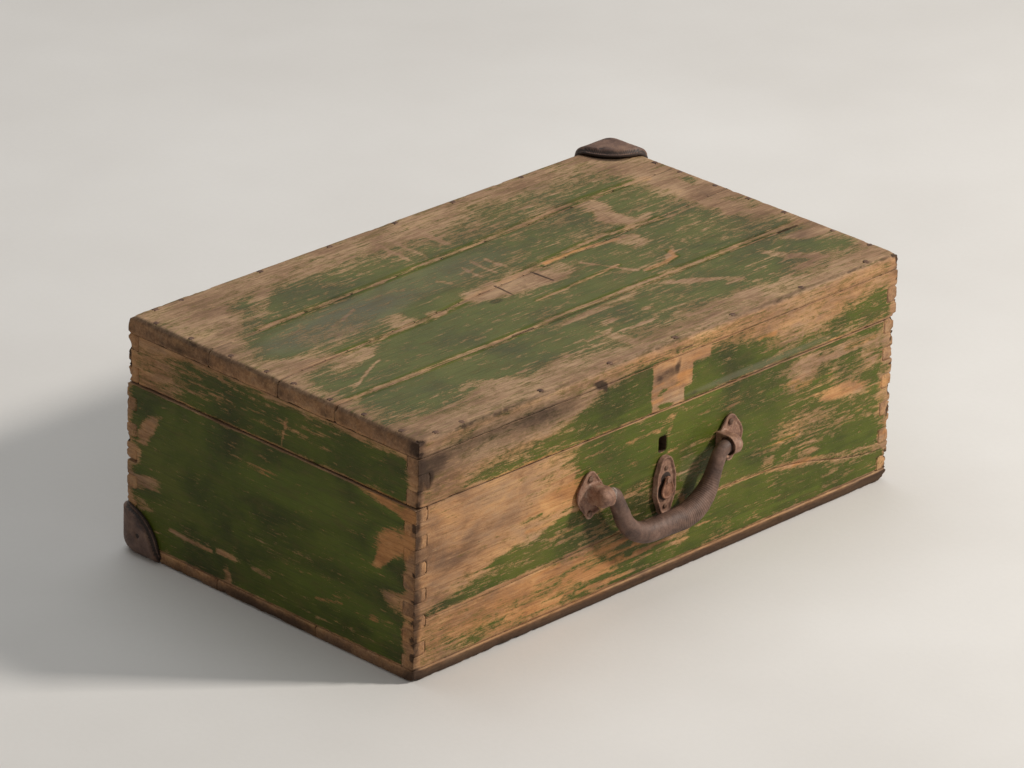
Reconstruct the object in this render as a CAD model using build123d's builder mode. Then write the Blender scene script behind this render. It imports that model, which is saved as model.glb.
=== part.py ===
from build123d import *
import os

# Old painted travelling chest: a nailed and finger-jointed softwood box with a deep hinged lid, a bail
# handle between two brackets, a lock behind the front wall and two corner caps that are still in place.
# Frame: origin at the centre of the underside, +X to the right along the front, +Y towards the hinges,
# +Z up. The front faces -Y. All sizes are in millimetres.

# ---------------------------------------------------------------- driving dimensions
LENGTH = 600.0
DEPTH = 356.0
HEIGHT = 222.0
WALL = 14.0
BOTTOM_THICK = 12.0
SEAM_Z = 160.0
SEAM_GAP = 1.0
LID_TOP_THICK = 16.0
LID_SETOVER = 2.0
PLANK_GAP = 0.6

LEFT_FINGERS = 12
RIGHT_FINGERS = 11
LID_FINGERS = 3

# Handle: the bail's axis, its two brackets and the route of its core.
HANDLE_X = -5.0
HANDLE_PIVOT_Z = 111.0
HANDLE_PIVOT_OUT = 15.0
BRACKET_SPAN = 176.0
BRACKET_PLATE = 2.5
BRACKET_LENGTH = 14.5
LEFT_MOUTH = 78.0
RIGHT_MOUTH = 71.0
BOSS_RADIUS = 9.2
FERRULE_RADIUS = 6.0
RUNNING_CLEARANCE = 0.06
CORE_RADIUS = 4.0
BAIL_LEFT_TOP = -72.0
BAIL_LEFT_FOOT = -48.0
BAIL_RIGHT_FOOT = 40.0
BAIL_RIGHT_TOP = 63.0
BAIL_DROP = 51.0

# Lock: staple slot, keyhole, escutcheon, swinging cover, case and bolt.
STAPLE_X, STAPLE_Z = -1.0, 128.5
STAPLE_WIDTH, STAPLE_HEIGHT = 10.0, 15.0
LOCK_X = 1.0
KEYHOLE_Z = 86.0
KEYHOLE_RADIUS = 4.0
ESCUTCHEON_THICK = 3.6
ESCUTCHEON_RIM = 1.2
COVER_PIVOT_Z = 96.5
COVER_THICK = 1.6
COVER_CLEARANCE = 0.35
RIVET_RADIUS = 1.5
CASE_SHEET = 1.5
CASE_DEPTH = 14.0
BOLT_THICK = 4.0
BOLT_CLEARANCE = 0.3

# Butt hinges on the back.
HINGE_X = 190.0
HINGE_WIDTH = 52.0
HINGE_SHEET = 1.8
KNUCKLE_RADIUS = 4.0
KNUCKLE_OUT = 4.5
PIN_RADIUS = 2.0
LEAF_REACH = 27.0
KNUCKLE_SLIT = 0.4

# Corner caps: stiff domed sheet over a corner whose wood is rounded off beneath it.
CAP_REACH = 43.0
CAP_SHEET = 3.2
CAP_FLAP_UNDER = 1.6
CAP_ROUND = 14.0
CAP_EDGE_GAP = 0.3

# ---------------------------------------------------------------- derived places
FRONT = -DEPTH / 2
BACK = DEPTH / 2
LEFT = -LENGTH / 2
RIGHT = LENGTH / 2
LID_LEFT = LEFT + LID_SETOVER
LID_RIGHT = RIGHT + LID_SETOVER
LID_Z = SEAM_Z + SEAM_GAP
RAIL_TOP = HEIGHT - LID_TOP_THICK
FRONT_PLANE = Plane.XZ.offset(-FRONT)
HINGE_Y = BACK + KNUCKLE_OUT
HINGE_Z = SEAM_Z + SEAM_GAP / 2
PIVOT_Y = FRONT - HANDLE_PIVOT_OUT
LOCK_PLANE = FRONT_PLANE.shift_origin(Vector(LOCK_X, FRONT, 0))
COVER_PLANE_OUT = ESCUTCHEON_THICK + ESCUTCHEON_RIM + COVER_CLEARANCE
CASE_BACK = FRONT + WALL + CASE_DEPTH

# The two front boards meet on a line that runs nearly level and dips towards the right end.
FRONT_JOINT = [(LEFT, 57), (0, 62), (100, 61), (180, 54), (230, 42), (RIGHT, 33)]
BACK_JOINT_Z = 88.0

# Seams of the four lid planks and the three bottom planks: (y at the left end, y at the right end).
LID_SEAMS = [(FRONT, FRONT), (-78, -75), (-9, 27), (76, 94), (BACK, BACK)]
BOTTOM_SEAMS = [FRONT, -60, 62, BACK]

# Nails along the front and back edges of the lid are spaced by eye.
LID_NAIL_X = (-274, -244, -150, -66, 15, 88, 176, 262)
BOTTOM_NAIL_X = (-270, -180, -90, 0, 90, 180, 270)
BOTTOM_NAIL_Y = (-140, -90, -25, 25, 90, 140)

os.makedirs("parts", exist_ok=True)

# Turns that point a fastener's head towards one side of the box.
HEAD_FRONT = (90, 0, 0)
HEAD_BACK = (-90, 0, 0)
HEAD_LEFT = (0, -90, 0)
HEAD_RIGHT = (0, 90, 0)
HEAD_DOWN = (180, 0, 0)
HEAD_UP = (0, 0, 0)


# ---------------------------------------------------------------- helpers
def finish(piece, name):
    """Label one finished piece and write its STEP file."""
    piece.part.label = name
    export_step(piece.part, f"parts/{name}.step")


def block(low, high, mode=Mode.ADD):
    """Box between two opposite corners, in the part being built."""
    with Locations(tuple(low)):
        Box(*(high[i] - low[i] for i in range(3)), align=(Align.MIN,) * 3, mode=mode)


def finger_spans(low, high, count, first):
    """Every second finger between two heights, starting at number `first` from below."""
    pitch = (high - low) / count
    return [(low + i * pitch, low + (i + 1) * pitch) for i in range(first, count, 2)]


def cut_corner_slots(x_ends, y_ends, spans):
    """Slots through the corner posts of a wall, where the neighbouring wall's fingers pass."""
    for x0, x1 in x_ends:
        for y0, y1 in y_ends:
            for z0, z1 in spans:
                block((x0, y0, z0), (x1, y1, z1), mode=Mode.SUBTRACT)


def boxes_meet(first, second):
    """True if two bounding boxes overlap or touch."""
    return all(getattr(first.min, a) <= getattr(second.max, a)
               and getattr(second.min, a) <= getattr(first.max, a) for a in "XYZ")


def drive(piece, *fastener_groups):
    """Cut the seats of the given fasteners out of the piece being built."""
    reach = piece.part.bounding_box()
    for group in fastener_groups:
        for fastener in group.part.solids():
            if boxes_meet(reach, fastener.bounding_box()):
                add(fastener, mode=Mode.SUBTRACT)


def clear_of_cap(places, corner):
    """The places that lie outside a corner cap's round edge, seen in plan."""
    return [p for p in places
            if (Vector(p[0], p[1]) - Vector(corner[0], corner[1])).length > CAP_REACH + 4]


def make_nail(head_radius, head_height, shank_radius, length):
    """Nail with a domed head on z = 0 and its shank down -Z."""
    with BuildPart() as nail:
        with BuildSketch(Plane.XZ):
            with BuildLine():
                Line((0, head_height), (0, -length))
                Line((0, -length), (shank_radius, -length + 2 * shank_radius))
                Line((shank_radius, -length + 2 * shank_radius), (shank_radius, 0))
                Line((shank_radius, 0), (head_radius, 0))
                Spline((head_radius, 0), (0, head_height), tangents=[(0, 1), (-1, 0)])
            make_face()
        revolve(axis=Axis.Z)
    return nail.part


def make_screw(head_radius, shank_radius, length):
    """Countersunk wood screw with a slot, head face on z = 0 and shank down -Z."""
    cone = head_radius - shank_radius
    with BuildPart() as screw:
        with BuildSketch(Plane.XZ):
            with BuildLine():
                Polyline((0, 0), (head_radius, 0), (shank_radius, -cone), (shank_radius, -length + 3),
                         (0, -length), close=True)
            make_face()
        revolve(axis=Axis.Z)
        with BuildSketch(Plane.XY):
            Rectangle(2 * head_radius, 0.7)
        extrude(amount=-0.6, mode=Mode.SUBTRACT)
    return screw.part


# ---------------------------------------------------------------- fasteners, placed first
plank_nail = make_nail(2.8, 0.9, 1.3, 34)
bracket_nail = make_nail(3.0, 1.6, 1.2, 13)
cap_nail = make_nail(2.2, 1.0, 0.9, 11)
leaf_screw = make_screw(3.4, 1.7, 12)
case_screw = make_screw(3.0, 1.5, 11)

LID_NAIL_SINK = 0.9
half_wall = WALL / 2

bottom_corner = (LEFT, BACK, CAP_FLAP_UNDER)
top_corner = (LID_RIGHT, BACK, HEIGHT)

lid_nail_places = [(x + LID_SETOVER, y, HEIGHT - LID_NAIL_SINK)
                   for y in (FRONT + half_wall, BACK - half_wall) for x in LID_NAIL_X]
for front_seam, back_seam in zip(LID_SEAMS[:-1], LID_SEAMS[1:]):
    for x, side in ((LID_LEFT + half_wall, 0), (LID_RIGHT - half_wall, 1)):
        middle = (front_seam[side] + back_seam[side]) / 2
        lid_nail_places += [(x, middle + dy, HEIGHT - LID_NAIL_SINK) for dy in (-22, 22)]

with BuildPart() as lid_nails:
    with Locations(*clear_of_cap(lid_nail_places, top_corner)):
        add(plank_nail)
finish(lid_nails, "lid_nails")

bottom_nail_places = [(x, y, LID_NAIL_SINK) for y in (FRONT + half_wall, BACK - half_wall)
                      for x in BOTTOM_NAIL_X]
bottom_nail_places += [(x, y, LID_NAIL_SINK) for x in (LEFT + half_wall, RIGHT - half_wall)
                       for y in BOTTOM_NAIL_Y]

with BuildPart() as bottom_nails:
    with Locations(*[Location(p, HEAD_DOWN) for p in clear_of_cap(bottom_nail_places, bottom_corner)]):
        add(plank_nail)
finish(bottom_nails, "bottom_nails")

bracket_centres = [HANDLE_X - BRACKET_SPAN / 2, HANDLE_X + BRACKET_SPAN / 2]
bracket_nail_drops = (14.0, -18.5)
with BuildPart() as bracket_nails:
    for x in bracket_centres:
        for dz in bracket_nail_drops:
            place = Location((x, FRONT - BRACKET_PLATE, HANDLE_PIVOT_Z + dz), HEAD_FRONT)
            with Locations(place):
                add(bracket_nail)
finish(bracket_nails, "bracket_nails")

escutcheon_nail_z = (106.5, 70.5)
with BuildPart() as escutcheon_nails:
    for z in escutcheon_nail_z:
        with Locations(Location((LOCK_X, FRONT - ESCUTCHEON_THICK, z), HEAD_FRONT)):
            add(cap_nail)
finish(escutcheon_nails, "escutcheon_nails")

# The cover's rivet runs through the escutcheon into the front board; its head holds the cover.
RIVET_TAIL = 4.0
RIVET_SHOULDER = COVER_PLANE_OUT + COVER_THICK + COVER_CLEARANCE
with BuildPart() as cover_rivet:
    with BuildSketch(LOCK_PLANE.offset(-RIVET_TAIL)):
        with Locations((0, COVER_PIVOT_Z)):
            Circle(RIVET_RADIUS)
    extrude(amount=RIVET_TAIL + RIVET_SHOULDER)
    with BuildSketch(LOCK_PLANE.offset(RIVET_SHOULDER)):
        with Locations((0, COVER_PIVOT_Z)):
            Circle(2.6)
    extrude(amount=0.9)
finish(cover_rivet, "cover_rivet")

hinge_centres = [-HINGE_X, HINGE_X]
leaf_screw_x = (-17.5, 0.0, 17.5)
leaf_screw_drop = 18.5
with BuildPart() as hinge_box_screws:
    for x in hinge_centres:
        for dx in leaf_screw_x:
            place = Location((x + dx, BACK + HINGE_SHEET, HINGE_Z - leaf_screw_drop), HEAD_BACK)
            with Locations(place):
                add(leaf_screw)
finish(hinge_box_screws, "hinge_box_screws")

with BuildPart() as hinge_lid_screws:
    for x in hinge_centres:
        for dx in leaf_screw_x:
            place = Location((x + dx, BACK + HINGE_SHEET, HINGE_Z + leaf_screw_drop), HEAD_BACK)
            with Locations(place):
                add(leaf_screw)
finish(hinge_lid_screws, "hinge_lid_screws")

CASE_LEFT, CASE_RIGHT = LOCK_X - 31, LOCK_X + 31
CASE_LOW, CASE_HIGH = 78.0, 144.0
CASE_FLANGE = 11.0
with BuildPart() as lock_case_screws:
    for x in (CASE_LEFT - CASE_FLANGE / 2, CASE_RIGHT + CASE_FLANGE / 2):
        for z in (CASE_LOW + 9, CASE_HIGH - 9):
            with Locations(Location((x, FRONT + WALL + CASE_SHEET, z), HEAD_BACK)):
                add(case_screw)
finish(lock_case_screws, "lock_case_screws")


# ---------------------------------------------------------------- corner caps
def corner_block(corner, sides, skins):
    """Two opposite corners of a 60 mm block in the box's corner, grown outwards by the given skins."""
    low = [corner[i] - (60 if sides[i] > 0 else skins[i]) for i in range(3)]
    high = [corner[i] + (skins[i] if sides[i] > 0 else 60) for i in range(3)]
    return low, high


def make_rounded_corner(corner, sides, skins, radius):
    """Block in the box's corner with its three outer edges rounded."""
    outer_corner = Vector(*(corner[i] + sides[i] * skins[i] for i in range(3)))
    with BuildPart() as rounded:
        block(*corner_block(corner, sides, skins))
        outer_edges = [e for e in rounded.edges()
                       if min((e @ 0 - outer_corner).length, (e @ 1 - outer_corner).length) < 0.1]
        fillet(outer_edges, radius=radius)
    return rounded.part


def make_ball(corner, sides, radius):
    """Ball around a corner, its poles on the corner's diagonal."""
    with BuildPart() as ball:
        with Locations(Plane(origin=corner, z_dir=sides).location):
            Sphere(radius)
    return ball.part


def make_cap(corner, sides, skins):
    """Three-sided cap around a corner, with a round edge."""
    with BuildPart() as cap:
        add(make_rounded_corner(corner, sides, skins, CAP_ROUND))
        add(make_rounded_corner(corner, sides, (0, 0, 0), CAP_ROUND - CAP_SHEET), mode=Mode.SUBTRACT)
        add(make_ball(corner, sides, CAP_REACH), mode=Mode.INTERSECT)
    return cap.part


def make_corner_waste(corner, sides):
    """The wood that is rounded away beneath a cap."""
    with BuildPart() as waste:
        block(*corner_block(corner, sides, (0, 0, 0)))
        add(make_rounded_corner(corner, sides, (0, 0, 0), CAP_ROUND - CAP_SHEET), mode=Mode.SUBTRACT)
        add(make_ball(corner, sides, CAP_REACH + CAP_EDGE_GAP), mode=Mode.INTERSECT)
    return waste.part


NAIL_IN = 20.0
with BuildPart() as corner_cap_bottom_nails:
    with Locations(Location((LEFT - CAP_SHEET, BACK - NAIL_IN, NAIL_IN), HEAD_LEFT)):
        add(cap_nail)
    with Locations(Location((LEFT + NAIL_IN, BACK + CAP_SHEET, NAIL_IN), HEAD_BACK)):
        add(cap_nail)
finish(corner_cap_bottom_nails, "corner_cap_bottom_nails")

with BuildPart() as corner_cap_top_nails:
    with Locations(Location((LID_RIGHT + CAP_SHEET, BACK - NAIL_IN, HEIGHT - 8), HEAD_RIGHT)):
        add(cap_nail)
    with Locations(Location((LID_RIGHT - NAIL_IN, BACK + CAP_SHEET, HEIGHT - 8), HEAD_BACK)):
        add(cap_nail)
    with Locations(Location((LID_RIGHT - NAIL_IN, BACK - NAIL_IN, HEIGHT + CAP_SHEET), HEAD_UP)):
        add(cap_nail)
finish(corner_cap_top_nails, "corner_cap_top_nails")

bottom_sides = (-1, 1, -1)
top_sides = (1, 1, 1)
bottom_corner_waste = make_corner_waste(bottom_corner, bottom_sides)
top_corner_waste = make_corner_waste(top_corner, top_sides)

with BuildPart() as corner_cap_bottom:
    add(make_cap(bottom_corner, bottom_sides, (CAP_SHEET, CAP_SHEET, CAP_FLAP_UNDER)))
    drive(corner_cap_bottom, corner_cap_bottom_nails)
finish(corner_cap_bottom, "corner_cap_bottom")

with BuildPart() as corner_cap_top:
    add(make_cap(top_corner, top_sides, (CAP_SHEET, CAP_SHEET, CAP_SHEET)))
    drive(corner_cap_top, corner_cap_top_nails)
finish(corner_cap_top, "corner_cap_top")


# ---------------------------------------------------------------- box walls
def keyhole_profile():
    """Round keyhole with a bit slot below it, on the lock's plane."""
    with Locations((0, KEYHOLE_Z)):
        Circle(KEYHOLE_RADIUS)
    with Locations((0, KEYHOLE_Z - KEYHOLE_RADIUS)):
        Rectangle(3.5, 6)


# The left corners start with a finger of the long wall, the right corners with one of the end board.
left_end_fingers = finger_spans(BOTTOM_THICK, SEAM_Z, LEFT_FINGERS, 1)
left_long_fingers = finger_spans(BOTTOM_THICK, SEAM_Z, LEFT_FINGERS, 0)
right_end_fingers = finger_spans(BOTTOM_THICK, SEAM_Z, RIGHT_FINGERS, 0)
right_long_fingers = finger_spans(BOTTOM_THICK, SEAM_Z, RIGHT_FINGERS, 1)
x_corners = [(LEFT, LEFT + WALL), (RIGHT - WALL, RIGHT)]
y_corners = [(FRONT, FRONT + WALL), (BACK - WALL, BACK)]

with BuildPart() as front_lower_board:
    with BuildSketch(FRONT_PLANE):
        with BuildLine():
            Spline(*FRONT_JOINT)
            Polyline(FRONT_JOINT[-1], (RIGHT, BOTTOM_THICK), (LEFT, BOTTOM_THICK), FRONT_JOINT[0])
        make_face()
    extrude(amount=-WALL)
    cut_corner_slots(x_corners[:1], y_corners[:1], left_end_fingers)
    cut_corner_slots(x_corners[1:], y_corners[:1], right_end_fingers)
    drive(front_lower_board, bottom_nails)
finish(front_lower_board, "front_lower_board")

with BuildPart() as front_upper_board:
    with BuildSketch(FRONT_PLANE):
        with BuildLine():
            Spline(*FRONT_JOINT)
            Polyline(FRONT_JOINT[-1], (RIGHT, SEAM_Z), (LEFT, SEAM_Z), FRONT_JOINT[0])
        make_face()
    extrude(amount=-WALL)
    cut_corner_slots(x_corners[:1], y_corners[:1], left_end_fingers)
    cut_corner_slots(x_corners[1:], y_corners[:1], right_end_fingers)
    with BuildSketch(FRONT_PLANE):
        with Locations((STAPLE_X, STAPLE_Z)):
            RectangleRounded(STAPLE_WIDTH, STAPLE_HEIGHT, 2)
    extrude(amount=-WALL, mode=Mode.SUBTRACT)
    with BuildSketch(LOCK_PLANE):
        keyhole_profile()
    extrude(amount=-WALL, mode=Mode.SUBTRACT)
    drive(front_upper_board, bracket_nails, escutcheon_nails, cover_rivet, lock_case_screws)
finish(front_upper_board, "front_upper_board")

with BuildPart() as back_lower_board:
    block((LEFT, BACK - WALL, BOTTOM_THICK), (RIGHT, BACK, BACK_JOINT_Z))
    cut_corner_slots(x_corners[:1], y_corners[1:], left_end_fingers)
    cut_corner_slots(x_corners[1:], y_corners[1:], right_end_fingers)
    add(bottom_corner_waste, mode=Mode.SUBTRACT)
    drive(back_lower_board, bottom_nails, corner_cap_bottom_nails)
finish(back_lower_board, "back_lower_board")

with BuildPart() as back_upper_board:
    block((LEFT, BACK - WALL, BACK_JOINT_Z), (RIGHT, BACK, SEAM_Z))
    cut_corner_slots(x_corners[:1], y_corners[1:], left_end_fingers)
    cut_corner_slots(x_corners[1:], y_corners[1:], right_end_fingers)
    drive(back_upper_board, hinge_box_screws)
finish(back_upper_board, "back_upper_board")

with BuildPart() as left_end_board:
    block((LEFT, FRONT, BOTTOM_THICK), (LEFT + WALL, BACK, SEAM_Z))
    cut_corner_slots(x_corners[:1], y_corners, left_long_fingers)
    add(bottom_corner_waste, mode=Mode.SUBTRACT)
    drive(left_end_board, bottom_nails, corner_cap_bottom_nails)
finish(left_end_board, "left_end_board")

with BuildPart() as right_end_board:
    block((RIGHT - WALL, FRONT, BOTTOM_THICK), (RIGHT, BACK, SEAM_Z))
    cut_corner_slots(x_corners[1:], y_corners, right_long_fingers)
    drive(right_end_board, bottom_nails)
finish(right_end_board, "right_end_board")

# ---------------------------------------------------------------- bottom planks
for name, y0, y1 in zip(("front", "middle", "back"), BOTTOM_SEAMS[:-1], BOTTOM_SEAMS[1:]):
    low_y = y0 if y0 == FRONT else y0 + PLANK_GAP / 2
    high_y = y1 if y1 == BACK else y1 - PLANK_GAP / 2
    with BuildPart() as bottom_plank:
        block((LEFT, low_y, 0), (RIGHT, high_y, BOTTOM_THICK))
        outer_low = [e for e in bottom_plank.edges().filter_by(Axis.X)
                     if e.center().Z < 0.1 and abs(e.center().Y) > BACK - 0.1]
        if outer_low:
            fillet(outer_low, radius=2.0)
        drive(bottom_plank, bottom_nails)
        if name == "back":
            with Locations((LEFT, BACK, 0)):
                Cylinder(CAP_REACH + CAP_EDGE_GAP, CAP_FLAP_UNDER,
                         align=(Align.CENTER, Align.CENTER, Align.MIN), mode=Mode.SUBTRACT)
            add(bottom_corner_waste, mode=Mode.SUBTRACT)
    finish(bottom_plank, f"bottom_plank_{name}")

# ---------------------------------------------------------------- lid frame
lid_end_fingers = finger_spans(LID_Z, RAIL_TOP, LID_FINGERS, 1)
lid_long_fingers = finger_spans(LID_Z, RAIL_TOP, LID_FINGERS, 0)
lid_x_corners = [(LID_LEFT, LID_LEFT + WALL), (LID_RIGHT - WALL, LID_RIGHT)]

with BuildPart() as lid_front_rail:
    block((LID_LEFT, FRONT, LID_Z), (LID_RIGHT, FRONT + WALL, RAIL_TOP))
    cut_corner_slots(lid_x_corners, y_corners[:1], lid_end_fingers)
    drive(lid_front_rail, lid_nails)
finish(lid_front_rail, "lid_front_rail")

with BuildPart() as lid_back_rail:
    block((LID_LEFT, BACK - WALL, LID_Z), (LID_RIGHT, BACK, RAIL_TOP))
    cut_corner_slots(lid_x_corners, y_corners[1:], lid_end_fingers)
    add(top_corner_waste, mode=Mode.SUBTRACT)
    drive(lid_back_rail, lid_nails, hinge_lid_screws)
finish(lid_back_rail, "lid_back_rail")

for name, ends in (("left", lid_x_corners[:1]), ("right", lid_x_corners[1:])):
    with BuildPart() as lid_end_rail:
        block((ends[0][0], FRONT, LID_Z), (ends[0][1], BACK, RAIL_TOP))
        cut_corner_slots(ends, y_corners, lid_long_fingers)
        if name == "right":
            add(top_corner_waste, mode=Mode.SUBTRACT)
        drive(lid_end_rail, lid_nails)
    finish(lid_end_rail, f"lid_{name}_rail")

# ---------------------------------------------------------------- lid planks
TOP_EDGE_ROUND = 5.0
for number, (near, far) in enumerate(zip(LID_SEAMS[:-1], LID_SEAMS[1:]), start=1):
    near_gap = 0 if near[0] == FRONT else PLANK_GAP / 2
    far_gap = 0 if far[0] == BACK else PLANK_GAP / 2
    with BuildPart() as lid_plank:
        with BuildSketch(Plane.XY.offset(RAIL_TOP)):
            with BuildLine():
                Polyline((LID_LEFT, near[0] + near_gap), (LID_RIGHT, near[1] + near_gap),
                         (LID_RIGHT, far[1] - far_gap), (LID_LEFT, far[0] - far_gap), close=True)
            make_face()
        extrude(amount=LID_TOP_THICK)
        worn = [e for e in lid_plank.edges()
                if e.center().Z > HEIGHT - 0.1
                and (abs(e.center().X - LID_SETOVER) > RIGHT - 0.1 or abs(e.center().Y) > BACK - 0.1)]
        fillet(worn, radius=TOP_EDGE_ROUND)
        if number == 4:
            add(top_corner_waste, mode=Mode.SUBTRACT)
        drive(lid_plank, lid_nails, corner_cap_top_nails)
    finish(lid_plank, f"lid_plank_{number}")


# ---------------------------------------------------------------- handle brackets
def bracket_outline():
    """Pear-shaped plate outline around the origin, nail lobes above and below."""
    Circle(15.5)
    with Locations((0, bracket_nail_drops[0])):
        Circle(7.0)
    with Locations((0, bracket_nail_drops[1])):
        Circle(4.5)
    make_hull()


for name, centre_x, inward, mouth in (("left", bracket_centres[0], 1, LEFT_MOUTH),
                                      ("right", bracket_centres[1], -1, RIGHT_MOUTH)):
    open_end = HANDLE_X - inward * mouth
    closed_end = open_end - inward * BRACKET_LENGTH
    with BuildPart() as handle_bracket:
        with BuildSketch(FRONT_PLANE.shift_origin(Vector(centre_x, FRONT, HANDLE_PIVOT_Z))):
            bracket_outline()
        extrude(amount=BRACKET_PLATE)
        rim = handle_bracket.faces().sort_by(Axis.Y)[0].outer_wire().edges()
        fillet(rim, radius=0.8)
        with BuildSketch(Plane.YZ.offset(min(closed_end, open_end))):
            with Locations((PIVOT_Y, HANDLE_PIVOT_Z)):
                Circle(BOSS_RADIUS)
            with Locations(((PIVOT_Y + FRONT) / 2, HANDLE_PIVOT_Z)):
                Rectangle(HANDLE_PIVOT_OUT, 2 * BOSS_RADIUS)
        extrude(amount=BRACKET_LENGTH)
        end_face = handle_bracket.faces().filter_by(Axis.X).sort_by(Axis.X)[0 if inward > 0 else -1]
        round_end = [e for e in end_face.edges() if e.center().Y < FRONT - BRACKET_PLATE - 0.5]
        fillet(round_end, radius=6.5)
        with BuildSketch(Plane.YZ.offset(closed_end + inward * 3.0)):
            with Locations((PIVOT_Y, HANDLE_PIVOT_Z)):
                Circle(FERRULE_RADIUS + RUNNING_CLEARANCE)
        extrude(amount=inward * BRACKET_LENGTH, mode=Mode.SUBTRACT)
        with BuildSketch(Plane.YZ.offset(open_end - inward * 3.0)):
            with Locations((PIVOT_Y, HANDLE_PIVOT_Z)):
                Circle(FERRULE_RADIUS + 1.8)
        extrude(amount=inward * 4.0, mode=Mode.SUBTRACT)
        drive(handle_bracket, bracket_nails)
    finish(handle_bracket, f"handle_bracket_{name}")


# ---------------------------------------------------------------- bail handle
def bail_points(left_reach, right_reach):
    """Corner points of the hanging bail's centre line, from left to right."""
    left = [(-left_reach, 0), (BAIL_LEFT_TOP, 0), (BAIL_LEFT_FOOT, -BAIL_DROP)]
    right = [(BAIL_RIGHT_FOOT, -BAIL_DROP), (BAIL_RIGHT_TOP, 0), (right_reach, 0)]
    return [(HANDLE_X + u, HANDLE_PIVOT_Z + w) for u, w in left + right]


BAIL_PLANE = Plane.XZ.offset(-PIVOT_Y)
FERRULE_DEPTH = BRACKET_LENGTH - 3.5
LEFT_END = LEFT_MOUTH + FERRULE_DEPTH
RIGHT_END = RIGHT_MOUTH + FERRULE_DEPTH
FERRULE_LENGTH = 7.5
BAIL_BENDS = (7.0, 42.0, 42.0, 8.0)

with BuildLine(BAIL_PLANE) as bail_line:
    FilletPolyline(*bail_points(LEFT_END - 1, RIGHT_END - 1), radius=BAIL_BENDS)

with BuildPart() as handle_core:
    with BuildSketch(Plane(origin=bail_line.line @ 0, z_dir=bail_line.line % 0)):
        Circle(CORE_RADIUS)
    sweep(path=bail_line.line)
    for side, end in ((-1, LEFT_END), (1, RIGHT_END)):
        ferrule_start = HANDLE_X + side * end
        with BuildSketch(Plane.YZ.offset(ferrule_start)):
            with Locations((PIVOT_Y, HANDLE_PIVOT_Z)):
                Circle(FERRULE_RADIUS)
        extrude(amount=-side * FERRULE_LENGTH)
finish(handle_core, "handle_core")

# The grip swells from its ends to the middle. Each station is (share of the centre line, radius).
GRIP_STATIONS = [(0.041, 5.8), (0.051, 6.3), (0.083, 6.8), (0.128, 7.3), (0.189, 7.7),
                 (0.252, 8.2), (0.331, 8.9), (0.388, 9.6), (0.452, 10.2), (0.516, 10.4),
                 (0.561, 10.6), (0.606, 11), (0.649, 11.2), (0.69, 10.8), (0.734, 9.8),
                 (0.774, 8.6), (0.814, 7.6), (0.859, 7), (0.904, 6.7), (0.943, 6.4), (0.959, 5.9)]

with BuildPart() as handle_grip:
    for share, radius in GRIP_STATIONS:
        with BuildSketch(Plane(origin=bail_line.line @ share, z_dir=bail_line.line % share)):
            Circle(radius)
    loft()
    add(handle_core.part, mode=Mode.SUBTRACT)
finish(handle_grip, "handle_grip")


# ---------------------------------------------------------------- escutcheon and keyhole cover
def escutcheon_outline():
    """Tall plate with nearly straight sides, round at the top and at the foot."""
    with Locations((0, 110.0)):
        Circle(8.0)
    with Locations((-3.5, 98.0), (3.5, 98.0)):
        Circle(8.5)
    with Locations((-4.5, 83.0), (4.5, 83.0)):
        Circle(8.0)
    with Locations((0, 70.0)):
        Circle(7.5)
    make_hull()


with BuildPart() as escutcheon_plate:
    with BuildSketch(LOCK_PLANE) as escutcheon_shape:
        escutcheon_outline()
    extrude(amount=ESCUTCHEON_THICK + ESCUTCHEON_RIM)
    with BuildSketch(LOCK_PLANE.offset(ESCUTCHEON_THICK)):
        escutcheon_outline()
        offset(amount=-2.4, mode=Mode.REPLACE)
    extrude(amount=ESCUTCHEON_RIM, mode=Mode.SUBTRACT)
    with BuildSketch(LOCK_PLANE):
        keyhole_profile()
    extrude(amount=ESCUTCHEON_THICK, mode=Mode.SUBTRACT)
    drive(escutcheon_plate, escutcheon_nails, cover_rivet)
finish(escutcheon_plate, "escutcheon_plate")

with BuildPart() as keyhole_cover:
    with BuildSketch(LOCK_PLANE.offset(COVER_PLANE_OUT)):
        with Locations((0, COVER_PIVOT_Z)):
            Circle(3.4)
        with Locations((0, KEYHOLE_Z)):
            Circle(8.0)
        make_hull()
        with Locations((0, COVER_PIVOT_Z)):
            Circle(RIVET_RADIUS + RUNNING_CLEARANCE, mode=Mode.SUBTRACT)
    extrude(amount=COVER_THICK)
finish(keyhole_cover, "keyhole_cover")

# ---------------------------------------------------------------- lock behind the front wall
INNER_FRONT = FRONT + WALL
BOLT_NEAR = INNER_FRONT + 4.0
BOLT_LOW, BOLT_HIGH = STAPLE_Z - 6.0, STAPLE_Z + 6.0
BOLT_TIP = STAPLE_X + STAPLE_WIDTH / 2 + 2.0
BOLT_TAIL = CASE_RIGHT + 14.0
TALON_START, TALON_END = 12.0, 18.0
TALON_LOW = KEYHOLE_Z + KEYHOLE_RADIUS + 4.0
RIB_SHEET = 2.0

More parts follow.
